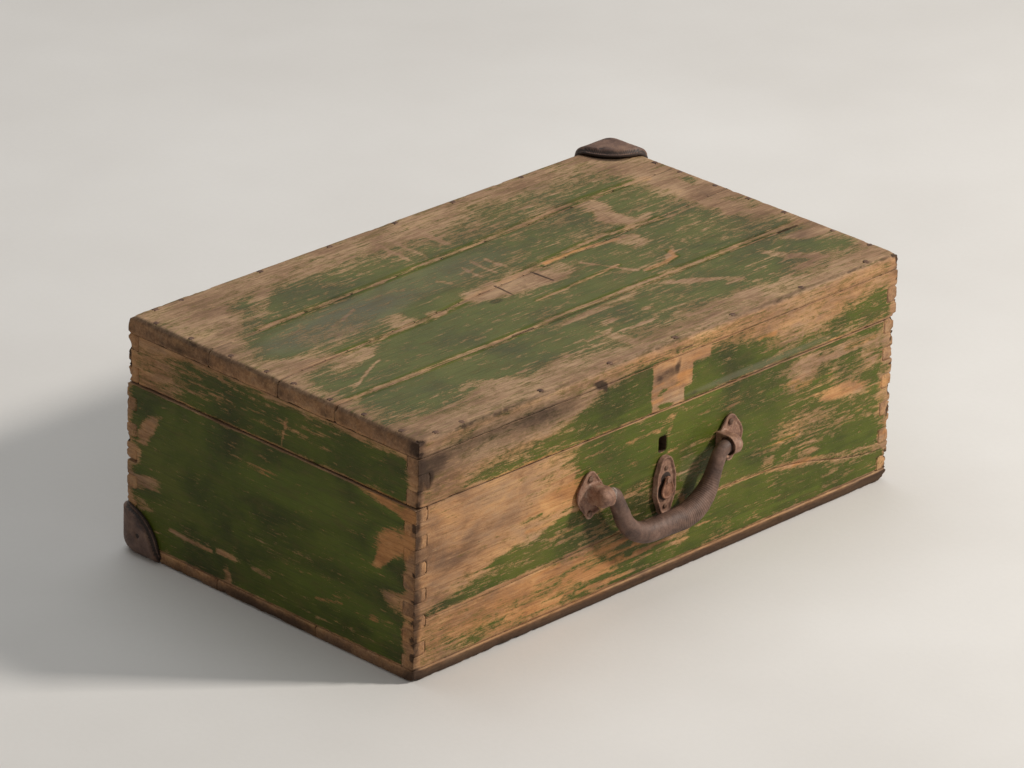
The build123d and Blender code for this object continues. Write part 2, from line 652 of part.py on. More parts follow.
with BuildPart() as lock_case:
    block((CASE_LEFT, INNER_FRONT, CASE_LOW), (CASE_RIGHT, CASE_BACK, CASE_HIGH))
    block((CASE_LEFT + CASE_SHEET, INNER_FRONT, CASE_LOW + CASE_SHEET),
          (CASE_RIGHT - CASE_SHEET, CASE_BACK - CASE_SHEET, CASE_HIGH - CASE_SHEET), mode=Mode.SUBTRACT)
    for x0, x1 in ((CASE_LEFT - CASE_FLANGE, CASE_LEFT), (CASE_RIGHT, CASE_RIGHT + CASE_FLANGE)):
        block((x0, INNER_FRONT, CASE_LOW), (x1, INNER_FRONT + CASE_SHEET, CASE_HIGH))
    for x0, z0 in ((BOLT_TIP + 2, BOLT_HIGH + BOLT_CLEARANCE),
                   (TALON_END + 3, BOLT_LOW - BOLT_CLEARANCE - RIB_SHEET)):
        block((x0, BOLT_NEAR, z0), (CASE_RIGHT - CASE_SHEET, CASE_BACK - CASE_SHEET, z0 + RIB_SHEET))
    block((CASE_RIGHT - 2 * CASE_SHEET, BOLT_NEAR - BOLT_CLEARANCE, BOLT_LOW - BOLT_CLEARANCE),
          (CASE_RIGHT + 1, BOLT_NEAR + BOLT_THICK + BOLT_CLEARANCE, BOLT_HIGH + BOLT_CLEARANCE),
          mode=Mode.SUBTRACT)
    drive(lock_case, lock_case_screws)
finish(lock_case, "lock_case")

with BuildPart() as lock_bolt:
    block((BOLT_TIP, BOLT_NEAR, BOLT_LOW), (BOLT_TAIL, BOLT_NEAR + BOLT_THICK, BOLT_HIGH))
    block((TALON_START, BOLT_NEAR, TALON_LOW), (TALON_END, BOLT_NEAR + BOLT_THICK, BOLT_LOW))
finish(lock_bolt, "lock_bolt")


# ---------------------------------------------------------------- hinges
def hinge_rod(x0, x1, radius, mode=Mode.ADD):
    """Round bar along the hinge axis, added as a knuckle or pin or cut as a bore."""
    with BuildSketch(Plane.YZ.offset(x0)) as section:
        with Locations((HINGE_Y, HINGE_Z)):
            Circle(radius)
    extrude(section.sketch, amount=x1 - x0, mode=mode)


LEAF_CLEAR = KNUCKLE_RADIUS + 0.6
third = HINGE_WIDTH / 3

for name, centre_x in (("left", hinge_centres[0]), ("right", hinge_centres[1])):
    x_start = centre_x - HINGE_WIDTH / 2
    x_end = centre_x + HINGE_WIDTH / 2
    middle = (x_start + third, x_end - third)
    outer_pair = ((x_start, middle[0] - KNUCKLE_SLIT), (middle[1] + KNUCKLE_SLIT, x_end))

    with BuildPart() as hinge_pin:
        hinge_rod(x_start - 1.2, x_start, PIN_RADIUS + 0.9)
        hinge_rod(x_start, x_end, PIN_RADIUS)
    finish(hinge_pin, f"{name}_hinge_pin")

    with BuildPart() as box_leaf:
        block((x_start, BACK, HINGE_Z - LEAF_REACH), (x_end, BACK + HINGE_SHEET, HINGE_Z - LEAF_CLEAR))
        for x0, x1 in outer_pair:
            block((x0, BACK, HINGE_Z - LEAF_CLEAR), (x1, BACK + HINGE_SHEET, HINGE_Z - SEAM_GAP / 2))
            hinge_rod(x0, x1, KNUCKLE_RADIUS)
            hinge_rod(x0, x1, PIN_RADIUS, mode=Mode.SUBTRACT)
        drive(box_leaf, hinge_box_screws)
    finish(box_leaf, f"{name}_hinge_box_leaf")

    with BuildPart() as lid_leaf:
        block((x_start, BACK, HINGE_Z + LEAF_CLEAR), (x_end, BACK + HINGE_SHEET, HINGE_Z + LEAF_REACH))
        block((middle[0], BACK, HINGE_Z + SEAM_GAP / 2), (middle[1], BACK + HINGE_SHEET, HINGE_Z + LEAF_CLEAR))
        hinge_rod(*middle, KNUCKLE_RADIUS)
        hinge_rod(*middle, PIN_RADIUS + RUNNING_CLEARANCE, mode=Mode.SUBTRACT)
        drive(lid_leaf, hinge_lid_screws)
    finish(lid_leaf, f"{name}_hinge_lid_leaf")
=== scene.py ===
import math

import bmesh
import bpy
import numpy as np
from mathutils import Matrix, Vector
from mathutils.kdtree import KDTree


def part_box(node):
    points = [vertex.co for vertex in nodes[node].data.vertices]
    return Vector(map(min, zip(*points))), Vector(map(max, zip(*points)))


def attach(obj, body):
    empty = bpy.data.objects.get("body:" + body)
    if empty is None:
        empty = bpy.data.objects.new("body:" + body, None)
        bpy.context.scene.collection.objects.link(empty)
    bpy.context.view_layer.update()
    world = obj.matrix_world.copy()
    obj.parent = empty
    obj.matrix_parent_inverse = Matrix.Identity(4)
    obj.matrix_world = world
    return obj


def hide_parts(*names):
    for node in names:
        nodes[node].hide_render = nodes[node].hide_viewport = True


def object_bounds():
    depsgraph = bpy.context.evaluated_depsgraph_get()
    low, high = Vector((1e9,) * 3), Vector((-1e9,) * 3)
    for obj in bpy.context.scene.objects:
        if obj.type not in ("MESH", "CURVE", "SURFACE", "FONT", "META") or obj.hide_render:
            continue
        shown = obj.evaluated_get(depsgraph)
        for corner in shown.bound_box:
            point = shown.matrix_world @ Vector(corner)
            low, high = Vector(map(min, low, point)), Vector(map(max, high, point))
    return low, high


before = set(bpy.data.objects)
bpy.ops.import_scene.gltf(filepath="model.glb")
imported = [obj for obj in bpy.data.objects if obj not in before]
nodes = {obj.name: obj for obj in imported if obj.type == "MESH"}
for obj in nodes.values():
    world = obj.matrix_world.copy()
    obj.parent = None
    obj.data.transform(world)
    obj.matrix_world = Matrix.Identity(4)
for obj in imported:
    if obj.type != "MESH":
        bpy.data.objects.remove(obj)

# Looks of an old painted travelling chest: worn boards, leather-covered bail, iron fittings and corner caps.
# Everything is in the row frame, in metres. Places on a face are written in millimetres for reading ease.

CAD_LOW, CAD_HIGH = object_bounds()
MM = 0.001
SEED = 7
FINE, COARSE = 1.7, 2.1
FINGER_PITCH = 12.33
WELD_DISTANCE = 2e-6
CAP_REACH = 40.0
GRIP_STEP = 0.45

box_low, box_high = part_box("front_lower_board")
LEFT, FRONT = box_low.x / MM, box_low.y / MM
RIGHT, BACK = -LEFT, -FRONT
lid_low, lid_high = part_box("lid_front_rail")
LID_LEFT, LID_RIGHT = lid_low.x / MM, lid_high.x / MM
SEAM_Z = lid_low.z / MM
TOP_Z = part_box("lid_plank_1")[1].z / MM
BOTTOM_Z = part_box("front_lower_board")[0].z / MM
STAPLE_X, STAPLE_Z = -1.0, 128.5
LOCK_X, KEYHOLE_Z, COVER_Z = 1.0, 86.0, 96.5


# ------------------------------------------------------------------ noise on points
def lattice(ix, iy, iz, seed):
    """Pseudo-random value in 0..1 for each whole-numbered lattice point."""
    ix, iy, iz = (a.astype(np.int64).astype(np.uint32) for a in (ix, iy, iz))
    h = ix * np.uint32(374761393) + iy * np.uint32(668265263) + iz * np.uint32(2246822519)
    h = h + np.uint32((seed * 3266489917) & 0xFFFFFFFF)
    h = (h ^ (h >> np.uint32(13))) * np.uint32(1274126177)
    return ((h ^ (h >> np.uint32(16))) & np.uint32(0xFFFFFF)).astype(float) / 0xFFFFFF


def value_noise(p, seed):
    """Smooth noise in 0..1 at an array of points, one cell per unit."""
    cell = np.floor(p)
    f = p - cell
    f = f * f * (3 - 2 * f)
    total = 0
    for dx in (0, 1):
        for dy in (0, 1):
            for dz in (0, 1):
                corner = lattice(cell[:, 0] + dx, cell[:, 1] + dy, cell[:, 2] + dz, seed)
                weight = (np.abs(1 - dx - f[:, 0]) * np.abs(1 - dy - f[:, 1])
                          * np.abs(1 - dz - f[:, 2]))
                total = total + corner * weight
    return total


def fbm(p, size, seed, octaves=3):
    """Layered noise in about 0..1, its largest features `size` across (one number or one per axis)."""
    q = p / np.array(size)
    total, weight, norm = 0, 1.0, 0.0
    for k in range(octaves):
        total = total + weight * value_noise(q * 2 ** k + 17.3 * k, seed + k)
        norm += weight
        weight *= 0.5
    return total / norm


def ease(x, low, high):
    """Smooth step from 0 at `low` to 1 at `high`, which may be the smaller number."""
    t = np.clip((x - low) / (high - low), 0, 1)
    return t * t * (3 - 2 * t)


# ------------------------------------------------------------------ shader helpers
def rgb(text):
    """Linear colour from a hexadecimal one."""
    parts = [int(text[i:i + 2], 16) / 255 for i in (1, 3, 5)]
    return tuple(c / 12.92 if c <= 0.04045 else ((c + 0.055) / 1.055) ** 2.4 for c in parts) + (1.0,)


class Shader:
    """One procedural material with short calls for the nodes it needs. Coordinates are millimetres."""

    def __init__(self, name):
        self.material = bpy.data.materials.new(name)
        self.material.use_nodes = True
        self.tree = self.material.node_tree
        self.tree.nodes.clear()
        coordinates = self.add("ShaderNodeTexCoord")
        scaled = self.add("ShaderNodeVectorMath", operation="SCALE")
        self.tree.links.new(coordinates.outputs["Object"], scaled.inputs[0])
        scaled.inputs["Scale"].default_value = 1 / MM
        self.place = scaled.outputs[0]

    def add(self, kind, **settings):
        node = self.tree.nodes.new(kind)
        for key, value in settings.items():
            setattr(node, key, value)
        return node

    def put(self, socket, value):
        if isinstance(value, bpy.types.NodeSocket):
            self.tree.links.new(value, socket)
        else:
            socket.default_value = value

    def stretch(self, factors):
        node = self.add("ShaderNodeVectorMath", operation="MULTIPLY")
        self.put(node.inputs[0], self.place)
        node.inputs[1].default_value = factors
        return node.outputs[0]

    def noise(self, size, detail=3.0, rough=0.55, bend=0.0, vector=None):
        """Noise with features about `size` millimetres across."""
        node = self.add("ShaderNodeTexNoise")
        self.put(node.inputs["Vector"], vector if vector is not None else self.place)
        node.inputs["Scale"].default_value = 1 / size
        node.inputs["Detail"].default_value = detail
        node.inputs["Roughness"].default_value = rough
        node.inputs["Distortion"].default_value = bend
        return node.outputs[0]

    def math(self, operation, a, b=0.0, clamp=False):
        node = self.add("ShaderNodeMath", operation=operation, use_clamp=clamp)
        self.put(node.inputs[0], a)
        self.put(node.inputs[1], b)
        return node.outputs[0]

    def sway(self, value, amount):
        """Noise centred on zero and scaled: (value - 0.5) * amount."""
        return self.math("MULTIPLY", self.math("SUBTRACT", value, 0.5), amount)

    def total(self, *values):
        result = values[0]
        for value in values[1:]:
            result = self.math("ADD", result, value)
        return result

    def step(self, value, low, high, to_low=0.0, to_high=1.0):
        node = self.add("ShaderNodeMapRange", interpolation_type="SMOOTHSTEP")
        self.put(node.inputs["Value"], value)
        for key, number in (("From Min", low), ("From Max", high), ("To Min", to_low), ("To Max", to_high)):
            node.inputs[key].default_value = number
        return node.outputs[0]

    def mix(self, share, a, b, how="MIX"):
        node = self.add("ShaderNodeMix", data_type="RGBA", blend_type=how)
        self.put(node.inputs[0], share)
        self.put(node.inputs[6], a)
        self.put(node.inputs[7], b)
        return node.outputs[2]

    def scaled(self, value, factor):
        return self.math("MULTIPLY", value, factor)

    def stain(self, base, value, low, high, share, colour):
        """The base with up to `share` of a colour, where the value goes from low to high."""
        return self.mix(self.step(value, low, high, 0.0, share), base, rgb(colour))

    def ramp(self, value, *stops):
        node = self.add("ShaderNodeValToRGB")
        self.put(node.inputs[0], value)
        elements = node.color_ramp.elements
        while len(elements) < len(stops):
            elements.new(0.5)
        for element, (at, colour) in zip(elements, stops):
            element.position = at
            element.color = rgb(colour)
        return node.outputs[0]

    def wear(self):
        """Red, green and blue of the mesh's wear attribute: paint cover, dirt and tone."""
        attribute = self.add("ShaderNodeAttribute", attribute_name="wear")
        split = self.add("ShaderNodeSeparateColor")
        self.put(split.inputs[0], attribute.outputs["Color"])
        return split.outputs[0], split.outputs[1], split.outputs[2]

    def finish(self, colour, rough, height, depth, metallic=0.0, sheen=0.5):
        """Principled surface with a bump `depth` millimetres deep; sheen is its specular level."""
        bump = self.add("ShaderNodeBump")
        bump.inputs["Strength"].default_value = 1.0
        bump.inputs["Distance"].default_value = depth * MM
        self.put(bump.inputs["Height"], height)
        surface = self.add("ShaderNodeBsdfPrincipled")
        self.put(surface.inputs["Base Color"], colour)
        self.put(surface.inputs["Roughness"], rough)
        self.put(surface.inputs["Metallic"], metallic)
        self.put(surface.inputs["Specular IOR Level"], sheen)
        self.put(surface.inputs["Normal"], bump.outputs[0])
        output = self.add("ShaderNodeOutputMaterial")
        self.put(output.inputs[0], surface.outputs[0])
        return self.material


# ------------------------------------------------------------------ materials
def wood_material(name, along):
    """Bare and painted board, its grain along axis 0 (X) or 1 (Y)."""
    s = Shader(name)

    def grained(length):
        factors = [1.0, 1.0, 1.0]
        factors[along] = 1 / length
        return s.stretch(factors)

    cover, dirt, tone = s.wear()
    figure = s.noise(2.8, 5, 0.6, 0.3, grained(16))
    fibre = s.noise(1.2, 3, 0.65, 0.0, grained(38))
    streak = s.noise(2.4, 4, 0.7, 0.3, grained(13))
    flake = s.noise(2.6, 6, 0.75, 0.4, grained(3.2))
    torn = s.noise(9, 6, 0.72, 0.6, grained(2.6))
    speck = s.noise(1.0, 3, 0.8, 0.0, grained(1.6))
    blotch = s.noise(32, 5, 0.65, 0.5, grained(2.0))
    cloud = s.noise(100, 4, 0.55, 0.3)

    shade = s.total(0.5, s.sway(figure, 0.55), s.sway(blotch, 0.9), s.sway(cloud, 0.5))
    wood = s.ramp(shade, (0.25, "#705541"), (0.42, "#8c6e55"), (0.56, "#a08266"), (0.78, "#b29270"))
    fresh = s.ramp(shade, (0.25, "#8f6038"), (0.5, "#b27d4d"), (0.75, "#cb9a66"))
    grey = s.ramp(shade, (0.25, "#58473d"), (0.5, "#7c6655"), (0.75, "#93806c"))
    wood = s.mix(s.step(s.total(tone, s.sway(blotch, 0.7), s.sway(torn, 0.5)), 0.4, 0.95), wood, fresh)
    wood = s.mix(s.step(s.total(tone, s.sway(cloud, 0.6)), 0.28, 0.05), wood, grey)
    wood = s.stain(wood, torn, 0.52, 0.66, 0.4, "#5b4230")
    wood = s.stain(wood, fibre, 0.5, 0.7, 0.3, "#4a3222")
    wood = s.stain(wood, speck, 0.58, 0.72, 0.4, "#35241a")
    wood = s.stain(wood, flake, 0.57, 0.7, 0.35, "#4d3a2a")
    wood = s.stain(wood, flake, 0.44, 0.32, 0.35, "#c19a6c")

    paint = s.ramp(s.total(cloud, s.sway(blotch, 0.8)),
                   (0.28, "#2f3405"), (0.45, "#40480b"), (0.56, "#4a530d"), (0.72, "#575b18"))
    paint = s.stain(paint, tone, 0.6, 1.0, 0.65, "#58641a")
    # Low tone greys the paint. The lid's top has low tone all over, so there this grey is partly dust and
    # partly painted reflection haze from light glancing off the top.
    paint = s.stain(paint, tone, 0.5, 0.1, 0.5, "#777360")
    paint = s.stain(paint, tone, 0.12, -0.1, 0.45, "#57544c")
    paint = s.stain(paint, torn, 0.5, 0.66, 0.35, "#5c4c27")
    paint = s.stain(paint, fibre, 0.5, 0.7, 0.35, "#262a10")
    paint = s.stain(paint, speck, 0.58, 0.72, 0.25, "#80804c")

    layer = s.total(cover, s.sway(streak, 1.9), s.sway(flake, 2.1), s.sway(speck, 0.9),
                    s.sway(torn, 1.7), s.sway(fibre, 1.1), s.sway(blotch, 0.6))
    thin = s.step(layer, -0.1, 0.5, 0.0, 0.68)
    mask = s.total(s.step(layer, 0.48, 0.53, 0.0, 0.6), s.step(layer, 0.5, 0.8, 0.0, 0.4))
    rim = s.math("MULTIPLY", s.step(layer, 0.4, 0.47), s.step(layer, 0.56, 0.5))
    colour = s.mix(thin, wood, s.mix(0.5, paint, rgb("#80693a")))
    colour = s.mix(mask, colour, paint)
    colour = s.mix(s.scaled(rim, 0.22), colour, rgb("#c9a873"))
    # Dirt darkens the wood; inside the staple slot and the keyhole this darkening is painted shade.
    grime_and_hole_shade = s.step(s.total(dirt, s.sway(blotch, 0.55), s.sway(flake, 0.35)), 0.38, 0.95, 0.0, 0.88)
    colour = s.mix(grime_and_hole_shade, colour, rgb("#2c1d14"))

    rough = s.total(s.step(mask, 0.0, 1.0, 0.78, 0.56), s.sway(flake, 0.18))
    height = s.total(s.scaled(mask, 0.35), s.scaled(figure, 0.55),
                     s.scaled(fibre, 0.55), s.scaled(speck, 0.22))
    return s.finish(colour, rough, height, 0.55, sheen=0.28)


def leather_material(name, dark, middle, light):
    """Old stiff leather; the wear attribute's red is how far the surface stands out."""
    s = Shader(name)
    crest, dirt, tone = s.wear()
    cloud = s.noise(14, 4, 0.6, 0.4)
    pore = s.noise(1.3, 4, 0.7)
    scuff = s.noise(4.5, 5, 0.7, 0.8)
    colour = s.ramp(s.total(cloud, s.sway(pore, 0.35)), (0.3, dark), (0.52, middle), (0.75, light))
    high = s.step(s.total(crest, s.sway(scuff, 0.7)), 0.55, 0.9, 0.0, 0.6)
    colour = s.mix(high, colour, rgb(light))
    low = s.step(s.total(crest, s.sway(scuff, 0.3)), 0.42, 0.12, 0.0, 0.85)
    colour = s.mix(low, colour, rgb("#1f1512"))
    colour = s.mix(s.step(s.total(dirt, s.sway(cloud, 0.4)), 0.4, 0.9, 0.0, 0.85), colour, rgb("#1b120e"))
    colour = s.mix(s.step(s.total(tone, s.sway(scuff, 0.8)), 0.62, 0.85, 0.0, 0.8), colour, rgb("#b9aca0"))
    rough = s.total(0.62, s.sway(scuff, 0.35))
    height = s.total(s.scaled(pore, 0.6), s.scaled(scuff, 0.5))
    return s.finish(colour, rough, height, 0.35)


def iron_material(name, dark, middle, light, metallic):
    """Rust-skinned iron, pitted, with rubbed spots."""
    s = Shader(name)
    crest, dirt, tone = s.wear()
    pit = s.noise(0.9, 4, 0.7)
    rust = s.noise(5.0, 5, 0.65, 0.6)
    cloud = s.noise(18, 3, 0.6, 0.3)
    colour = s.ramp(s.total(rust, s.sway(cloud, 0.5)), (0.28, dark), (0.5, middle), (0.72, light))
    colour = s.stain(colour, pit, 0.56, 0.72, 0.6, "#19100c")
    rubbed = s.step(s.total(cloud, s.sway(rust, 0.7)), 0.6, 0.74, 0.0, 0.5)
    colour = s.mix(rubbed, colour, rgb("#8f7b6d"))
    # The dirt value blackens the iron: real dirt, and on the escutcheon plate painted shade round the
    # keyhole cover.
    colour = s.stain(colour, dirt, 0.25, 0.95, 0.9, "#150e0b")
    rough = s.step(rubbed, 0.0, 0.5, 0.68, 0.42)
    height = s.total(s.scaled(pit, 0.7), s.scaled(rust, 0.8))
    return s.finish(colour, rough, height, 0.3, metallic)


WOOD_X = wood_material("board_along_x", 0)
WOOD_Y = wood_material("board_along_y", 1)
GRIP = leather_material("grip_leather", "#402c24", "#5f463a", "#7e6153")
CAP = leather_material("cap_leather", "#3f2b25", "#644a3e", "#836654")
FITTING = iron_material("fitting_iron", "#614438", "#876451", "#a37f6a", 0.05)
COVER = iron_material("cover_iron", "#52362a", "#7c543f", "#996c53", 0.05)
NAIL = iron_material("nail_steel", "#3a281f", "#5c4232", "#7d5c46", 0.1)
STEEL = iron_material("hinge_steel", "#2e2622", "#4a3d36", "#6e5647", 0.6)


# ------------------------------------------------------------------ paint, dirt and tone on each face
def blobs(u, v, field, items):
    """Add soft ellipses to a field: (u, v, half length, half width, strength, degrees of turn if any)."""
    for cu, cv, a, b, strength, *turn in items:
        angle = math.radians(turn[0] if turn else 0)
        c, s = math.cos(angle), math.sin(angle)
        du, dv = u - cu, v - cv
        q = np.sqrt(((du * c + dv * s) / a) ** 2 + ((dv * c - du * s) / b) ** 2)
        field = field + strength * ease(q, 1.5, 0.55)
    return field


def strokes(u, v, field, items):
    """Add soft lines to a field: (points, half width, strength)."""
    for points, half_width, strength in items:
        near = np.full(u.shape, 1e9)
        for (u0, v0), (u1, v1) in zip(points[:-1], points[1:]):
            du, dv = u1 - u0, v1 - v0
            t = np.clip(((u - u0) * du + (v - v0) * dv) / (du * du + dv * dv), 0, 1)
            near = np.minimum(near, np.hypot(u - u0 - t * du, v - v0 - t * dv))
        field = field + strength * ease(near, half_width + 1.6, half_width - 0.8)
    return field


def panel(u, v, field, low, high, strength, soft=1.6):
    """Add a rectangle between two corners to a field."""
    inside = np.minimum(np.minimum(u - low[0], high[0] - u), np.minimum(v - low[1], high[1] - v))
    return field + strength * ease(inside, -soft, soft)


def scratches(u, v, field, seed, count, u_range, v_range, length, half_width, strength, slope=3.0):
    """Add short lines along the grain to a field, scattered by a fixed seed."""
    rng = np.random.default_rng(seed)
    made = []
    for _ in range(count):
        cu, cv = rng.uniform(*u_range), rng.uniform(*v_range)
        reach = rng.uniform(*length) / 2
        rise = reach * math.tan(math.radians(rng.uniform(-slope, slope)))
        made.append((((cu - reach, cv - rise), (cu + reach, cv + rise)),
                     rng.uniform(*half_width), strength * rng.uniform(0.6, 1.0)))
    return strokes(u, v, field, made)


def wander(u, v, seed):
    """Places shifted a little by noise, more along the grain than across it, for torn outlines."""
    points = np.stack([u, v, np.zeros(u.shape)], 1)
    along = 26 * (fbm(points, (46, 16, 9), seed, 4) - 0.5)
    across = 13 * (fbm(points, (38, 14, 9), seed + 50, 4) - 0.5)
    return u + along, v + across


def edge_line(values, at):
    """A face's margin, from a list of (place, margin) pairs."""
    return np.interp(at, [p for p, m in values], [m for p, m in values])


# Seams between the lid's planks, from the front one to the back one.
SEAM_LINES = [
    [(-292, -77), (-120, -76), (60, -72), (298, -70)],
    [(-272, -5), (-110, -2), (-50, 6), (40, 18), (130, 26), (200, 20)],
    [(-235, 79), (-100, 83), (60, 90), (180, 97), (262, 93)],
]


def top_fields(true_x, true_y):
    """Cover, dirt and tone on the lid's top: bare round its margins, along its seams and in patches."""
    x, y = wander(true_x, true_y, 81)
    left = edge_line([(-178, -296), (-150, -286), (-130, -293), (-60, -288), (-32, -284), (-20, -272),
        (-5, -232), (10, -242), (24, -274), (45, -279), (60, -272), (76, -262), (97, -241), (112, -233),
        (128, -226), (142, -216), (178, -200)], y)
    right = edge_line([(-178, 296), (-150, 280), (-128, 290), (-106, 284), (-95, 258), (-84, 288),
        (-60, 286), (-40, 282), (-24, 276), (-10, 262), (12, 262), (32, 256), (95, 254), (120, 252),
        (150, 244), (178, 236)], y)
    front = edge_line([(-300, -134), (-250, -146), (-200, -150), (-150, -144), (-100, -153), (-50, -150),
        (0, -156), (50, -153), (100, -150), (150, -155), (200, -152), (260, -146), (300, -138)], x)
    back = edge_line([(-300, 40), (-262, 78), (-240, 106), (-230, 140), (-190, 143), (-150, 136),
        (-100, 142), (-60, 149), (0, 144), (50, 143), (100, 148), (200, 153), (245, 150), (300, 104)], x)
    inside = np.minimum(np.minimum(x - left, right - x), np.minimum((y - front) * 0.8, back - y))
    cover = ease(inside, -14, 26) * 0.86
    cover = blobs(x, y, cover, [(-222, -20, 30, 12, -0.8, 12), (-103, 2, 8, 7, -0.7),
        (-135, 13, 15, 12, -0.75, -20), (4, 0, 52, 17, -1.1), (-40, 3, 14, 13, -0.5), (143, 3, 15, 13, -0.8),
        (170, 56, 30, 12, -1.1, 80), (188, 32, 13, 5, -0.6, 12), (-196, 118, 30, 8, -0.5, 40),
        (150, -44, 12, 3, -0.9, 55), (125, -104, 34, 5, -0.75, -38), (225, -118, 27, 7, -0.75, -52),
        (270, -92, 24, 8, -0.7, -15), (134, -148, 14, 9, -0.6), (-172, -138, 24, 13, -0.4),
        (-20, -132, 20, 8, -0.5, 85), (1, -112, 8, 5, -0.6), (47, -112, 6, 4, -0.6),
        (0, 122, 110, 26, -0.34), (10, -84, 62, 6, -0.7, 2), (-95, -148, 14, 6, -0.35),
        (-240, 120, 26, 12, -0.15, 60), (64, -118, 40, 14, -0.18), (215, 130, 44, 20, -0.15),
        (170, 130, 60, 22, -0.26), (250, 20, 50, 90, -0.22), (110, 45, 40, 18, -0.18),
        (-214, 30, 26, 26, -0.35), (-75, 85, 80, 22, 0.1), (-120, -20, 60, 16, 0.1),
        (-150, -90, 90, 18, 0.08), (286, 62, 6, 12, 0.75), (286, -5, 8, 18, 0.4), (284, -122, 14, 12, 0.35),
        (178, 90, 20, 4, -0.5, 10), (262, 40, 6, 60, -0.4), (125, 89, 30, 26, -0.32),
        (72, 89, 25, 26, -0.12), (-176, 30, 26, 24, -0.3), (0, 34, 48, 20, -0.22), (150, 32, 46, 22, -0.18),
        (150, -30, 48, 22, -0.18), (100, -89, 46, 22, -0.15), (-205, 89, 44, 24, -0.14)])
    cover = strokes(true_x, y * 0.3 + true_y * 0.7, cover, [(SEAM_LINES[0], 2.0, -0.7),
        (SEAM_LINES[1], 1.4, -0.6), (SEAM_LINES[2], 1.8, -0.65)])
    x, y = true_x + 0.25 * (x - true_x), true_y + 0.25 * (y - true_y)
    cover = strokes(x, y, cover, [(((50, 16), (90, 17), (138, 12)), 1.8, -0.9),
        (((-14, -36), (40, -34), (96, -30)), 1.2, -0.8), (((106, -54), (130, -54), (148, -50)), 2.2, -1.0),
        (((74, -4), (86, -24), (101, -50)), 1.3, -0.8), (((-168, 47), (-146, 56)), 1.2, -0.8),
        (((-33, 104), (-31, 148)), 2.0, -0.5), (((-17, 100), (-15, 146)), 1.6, -0.4),
        (((17, 104), (20, 150)), 3.0, -0.5), (((-50, 50), (-44, 40)), 2.0, -0.6),
        (((-14, 34), (-12, 56)), 1.5, -0.6), (((2, 30), (4, 62)), 1.3, -0.6),
        (((18, 34), (18, 58)), 1.8, -0.6), (((-260, -62), (-202, -34)), 1.0, -0.6),
        (((-270, -70), (-216, -40)), 0.8, -0.4)])
    cover = scratches(x, y, cover, 3, 70, (-270, 280), (-158, 140), (6, 46), (0.2, 0.9), -0.6)
    cover = scratches(x, y, cover, 4, 46, (-270, 280), (-160, -118), (4, 30), (0.3, 1.1), -0.7)

    x, y = true_x, true_y
    to_edge = np.minimum(np.minimum(x - LID_LEFT, LID_RIGHT - x), np.minimum(y - FRONT, BACK - y))
    dirt = 0.62 * ease(to_edge, 9, 0)
    dirt = blobs(x, y, dirt, [(-298, 150, 34, 30, 0.25), (-300, 70, 8, 70, 0.2), (-298, -60, 5, 60, 0.15),
        (-60, -174, 200, 7, 0.18), (-42, -14, 9, 5, 0.7), (200, -176, 90, 6, 0.25),
        (268, 160, 22, 14, 0.55, -60), (276, 148, 22, 10, 0.5, -50), (-20, 2, 9, 14, 0.22),
        (30, -4, 8, 14, 0.22), (54, 2, 12, 14, 0.2)])
    dirt = strokes(x, y, dirt, [(((-21, -15), (-19, 10)), 0.7, 0.9), (((28, -15), (27, 11)), 0.8, 1.1),
        (((162, 38), (170, 58), (174, 80)), 1.6, 0.55)])
    dirt = strokes(x, y, dirt, [(line, 0.2, 0.35) for line in SEAM_LINES])
    for nail in (-272, -242, -148, -64, 17, 90, 178, 264):
        for edge in (FRONT + 7, BACK - 7):
            dirt = blobs(x, y, dirt, [(nail, edge, 4.5, 3.5, 0.25)])

    # Low tone all over the top greys its paint: partly dust, partly painted reflection haze from light
    # glancing off it.
    tone = np.full(x.shape, 0.3)
    tone = blobs(x, y, tone, [(-178, 44, 74, 22, -0.34, 3), (-60, 60, 90, 22, -0.1),
        (170, 56, 26, 10, 0.12, 80), (-230, 165, 110, 26, 0.1), (120, 165, 160, 16, 0.08),
        (260, 40, 9, 50, 0.1)])
    tone = strokes(x, y, tone, [(line, 5.0, 0.22) for line in SEAM_LINES])
    tone = strokes(x, y, tone, [(((50, 16), (90, 17), (138, 12)), 2.5, 0.4),
        (((106, -54), (130, -54), (148, -50), (152, -38)), 3.0, 0.4), (((-14, -36), (96, -30)), 2.0, 0.3)])
    return cover, dirt, tone


# Joint between the two boards of the box's front.
FRONT_JOINT = [(-300, 57), (-150, 60), (0, 62), (100, 61), (180, 54), (230, 42), (300, 33)]


